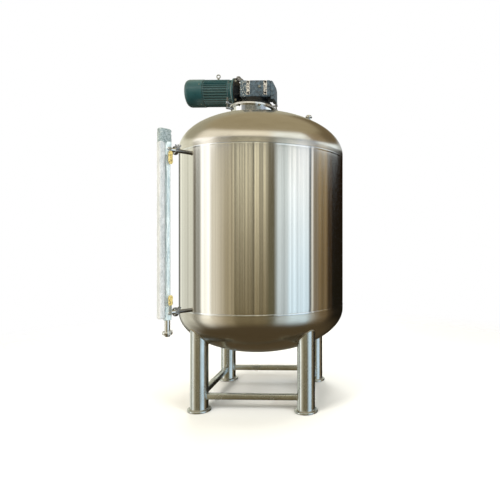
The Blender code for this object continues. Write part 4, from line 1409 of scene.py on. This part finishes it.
def wrapPiece(name, low, high, outline, folds, away, finish, replaces=()):
    # outline(angle) gives the section; folds only pull it in
    depth, size, seed, rows = wrap[folds]
    rings = []
    for k in range(rows + 1):
        share = k / rows
        height = low + (high - low) * share
        ring = []
        for j in range(wrap["around"]):
            x, y = outline(2 * math.pi * j / wrap["around"])
            sample = Vector((x / size, y / size, height / (size * 2.2) + seed))
            fold = abs(noise.noise(sample)) * 1.6 + 0.35 * abs(noise.noise(sample * 2.7))
            pull = 1 - min(1.0, fold) * depth / math.hypot(x, y)
            end = min(share, 1 - share) * (high - low)
            if end < wrap["endReach"]:
                pull *= 0.80 + 0.20 * math.sqrt(max(0.0, end / wrap["endReach"]))
            ring.append((x * pull, y * pull, height))
        rings.append(ring)
    column = loft([[(0, 0, low)]] + rings + [[(0, 0, high)]])
    piece(name, moved(column, onGauge @ at(away)), finish, replaces)


def circular(reach):
    return lambda angle: (reach * math.cos(angle), reach * math.sin(angle))


def makeWrap():
    low, high = lowOf("gauge_indicator"), highOf("gauge_indicator")
    corners = [onGauge.inverted() @ vertex.co for vertex in frame["nodes"]["gauge_indicator"].data.vertices]
    inner, outer = min(c.x for c in corners), max(c.x for c in corners)
    half = max(c.y for c in corners)
    top = high.z - wrap["topDrop"]
    wrapPiece("gauge_indicatorWrap", low.z, top - wrap["bunchHeight"] + 0.015,
              lambda angle: squircle(angle, (outer - inner) / 2, half), "foam", (inner + outer) / 2, foam,
              ["gauge_indicator"])

    def pleated(angle):
        reach = gauge["tube"] * (1 - 0.05 * abs(math.sin(3.5 * angle)))
        return reach * math.cos(angle), reach * math.sin(angle)

    wrapPiece("gauge_tubeWrap", lowOf("gauge_tube").z, highOf("gauge_tube").z, pleated, "tube",
              gaugeRadius, film, ["gauge_tube"])
    wrapPiece("gauge_top_capWrap", lowOf("gauge_top_cap").z, highOf("gauge_top_cap").z - wrap["topDrop"],
              circular(wrap["capReach"]), "cap", gaugeRadius, crumple, ["gauge_top_cap"])

    # film bunched over the top of column and tube
    start, stop = gaugeRadius - wrap["capReach"], outer - 0.0004
    wrapPiece("gaugeTopWrap", top - wrap["bunchHeight"], top,
              lambda angle: squircle(angle, (stop - start) / 2, half - 0.0004), "bunch",
              (start + stop) / 2, crumple)

    # and wound round both cocks
    for name in ("upper", "lower"):
        centre = middleOf("gauge_nozzle_" + name).z
        wrapPiece("gaugeCockWrap_" + name, centre - wrap["cockHalf"], centre + wrap["cockHalf"],
                  circular(wrap["cockReach"]), "cock", gaugeRadius, film)


def makeDrain():
    joint = (lowOf("gauge_drain_tube").z + highOf("gauge_drain_cap").z) / 2
    low, high = lowOf("gauge_drain_cap").z, highOf("gauge_drain_tube").z
    radius, rim = gauge["tube"] - 0.003, gauge["drainRim"]
    tube = turned([(0, high), (radius, high), (radius, joint + 0.008), (rim, joint + 0.0035),
                   (rim, joint + 0.0002), (0, joint + 0.0002)], 0.002)
    piece("gauge_drain_tubePipe", moved(tube, onTube), fittingSteel,
          ["gauge_drain_tube"])
    cap = turned([(0, joint - 0.0002), (rim, joint - 0.0002), (rim, joint - 0.0035), (0.024, joint - 0.008),
                  (0.022, low), (0, low)], 0.002)
    piece("gauge_drain_capPlug", moved(cap, onTube), fittingSteel, ["gauge_drain_cap"])
    ears = [slab((-0.012, 0.036, z), (0.012, 0.056, z + 0.010), 0.003, 3) for z in (-0.0115, 0.0015)]
    parts = [clampBand(rim, 0.042, 0.013), moved(wingNut(0.020), at(0, 0.047, 0.012))] + ears
    piece("gauge_drain_clampSet", moved(joined(parts), onTube @ at(0, 0, joint)), fittingSteel,
          ["gauge_drain_clamp"])


for branch in ("upper", "lower"):
    makeBranch(branch)
makeWrap()
makeDrain()
# left out of reflections: their images in shell and dome would hide the bright panels beside them
for made in bpy.data.objects:
    if made.name.startswith(("gauge", "motor_", "fan_", "terminal_", "coolingFan", "cableGland", "swing_")):
        made.visible_glossy = False
print("gauge made")
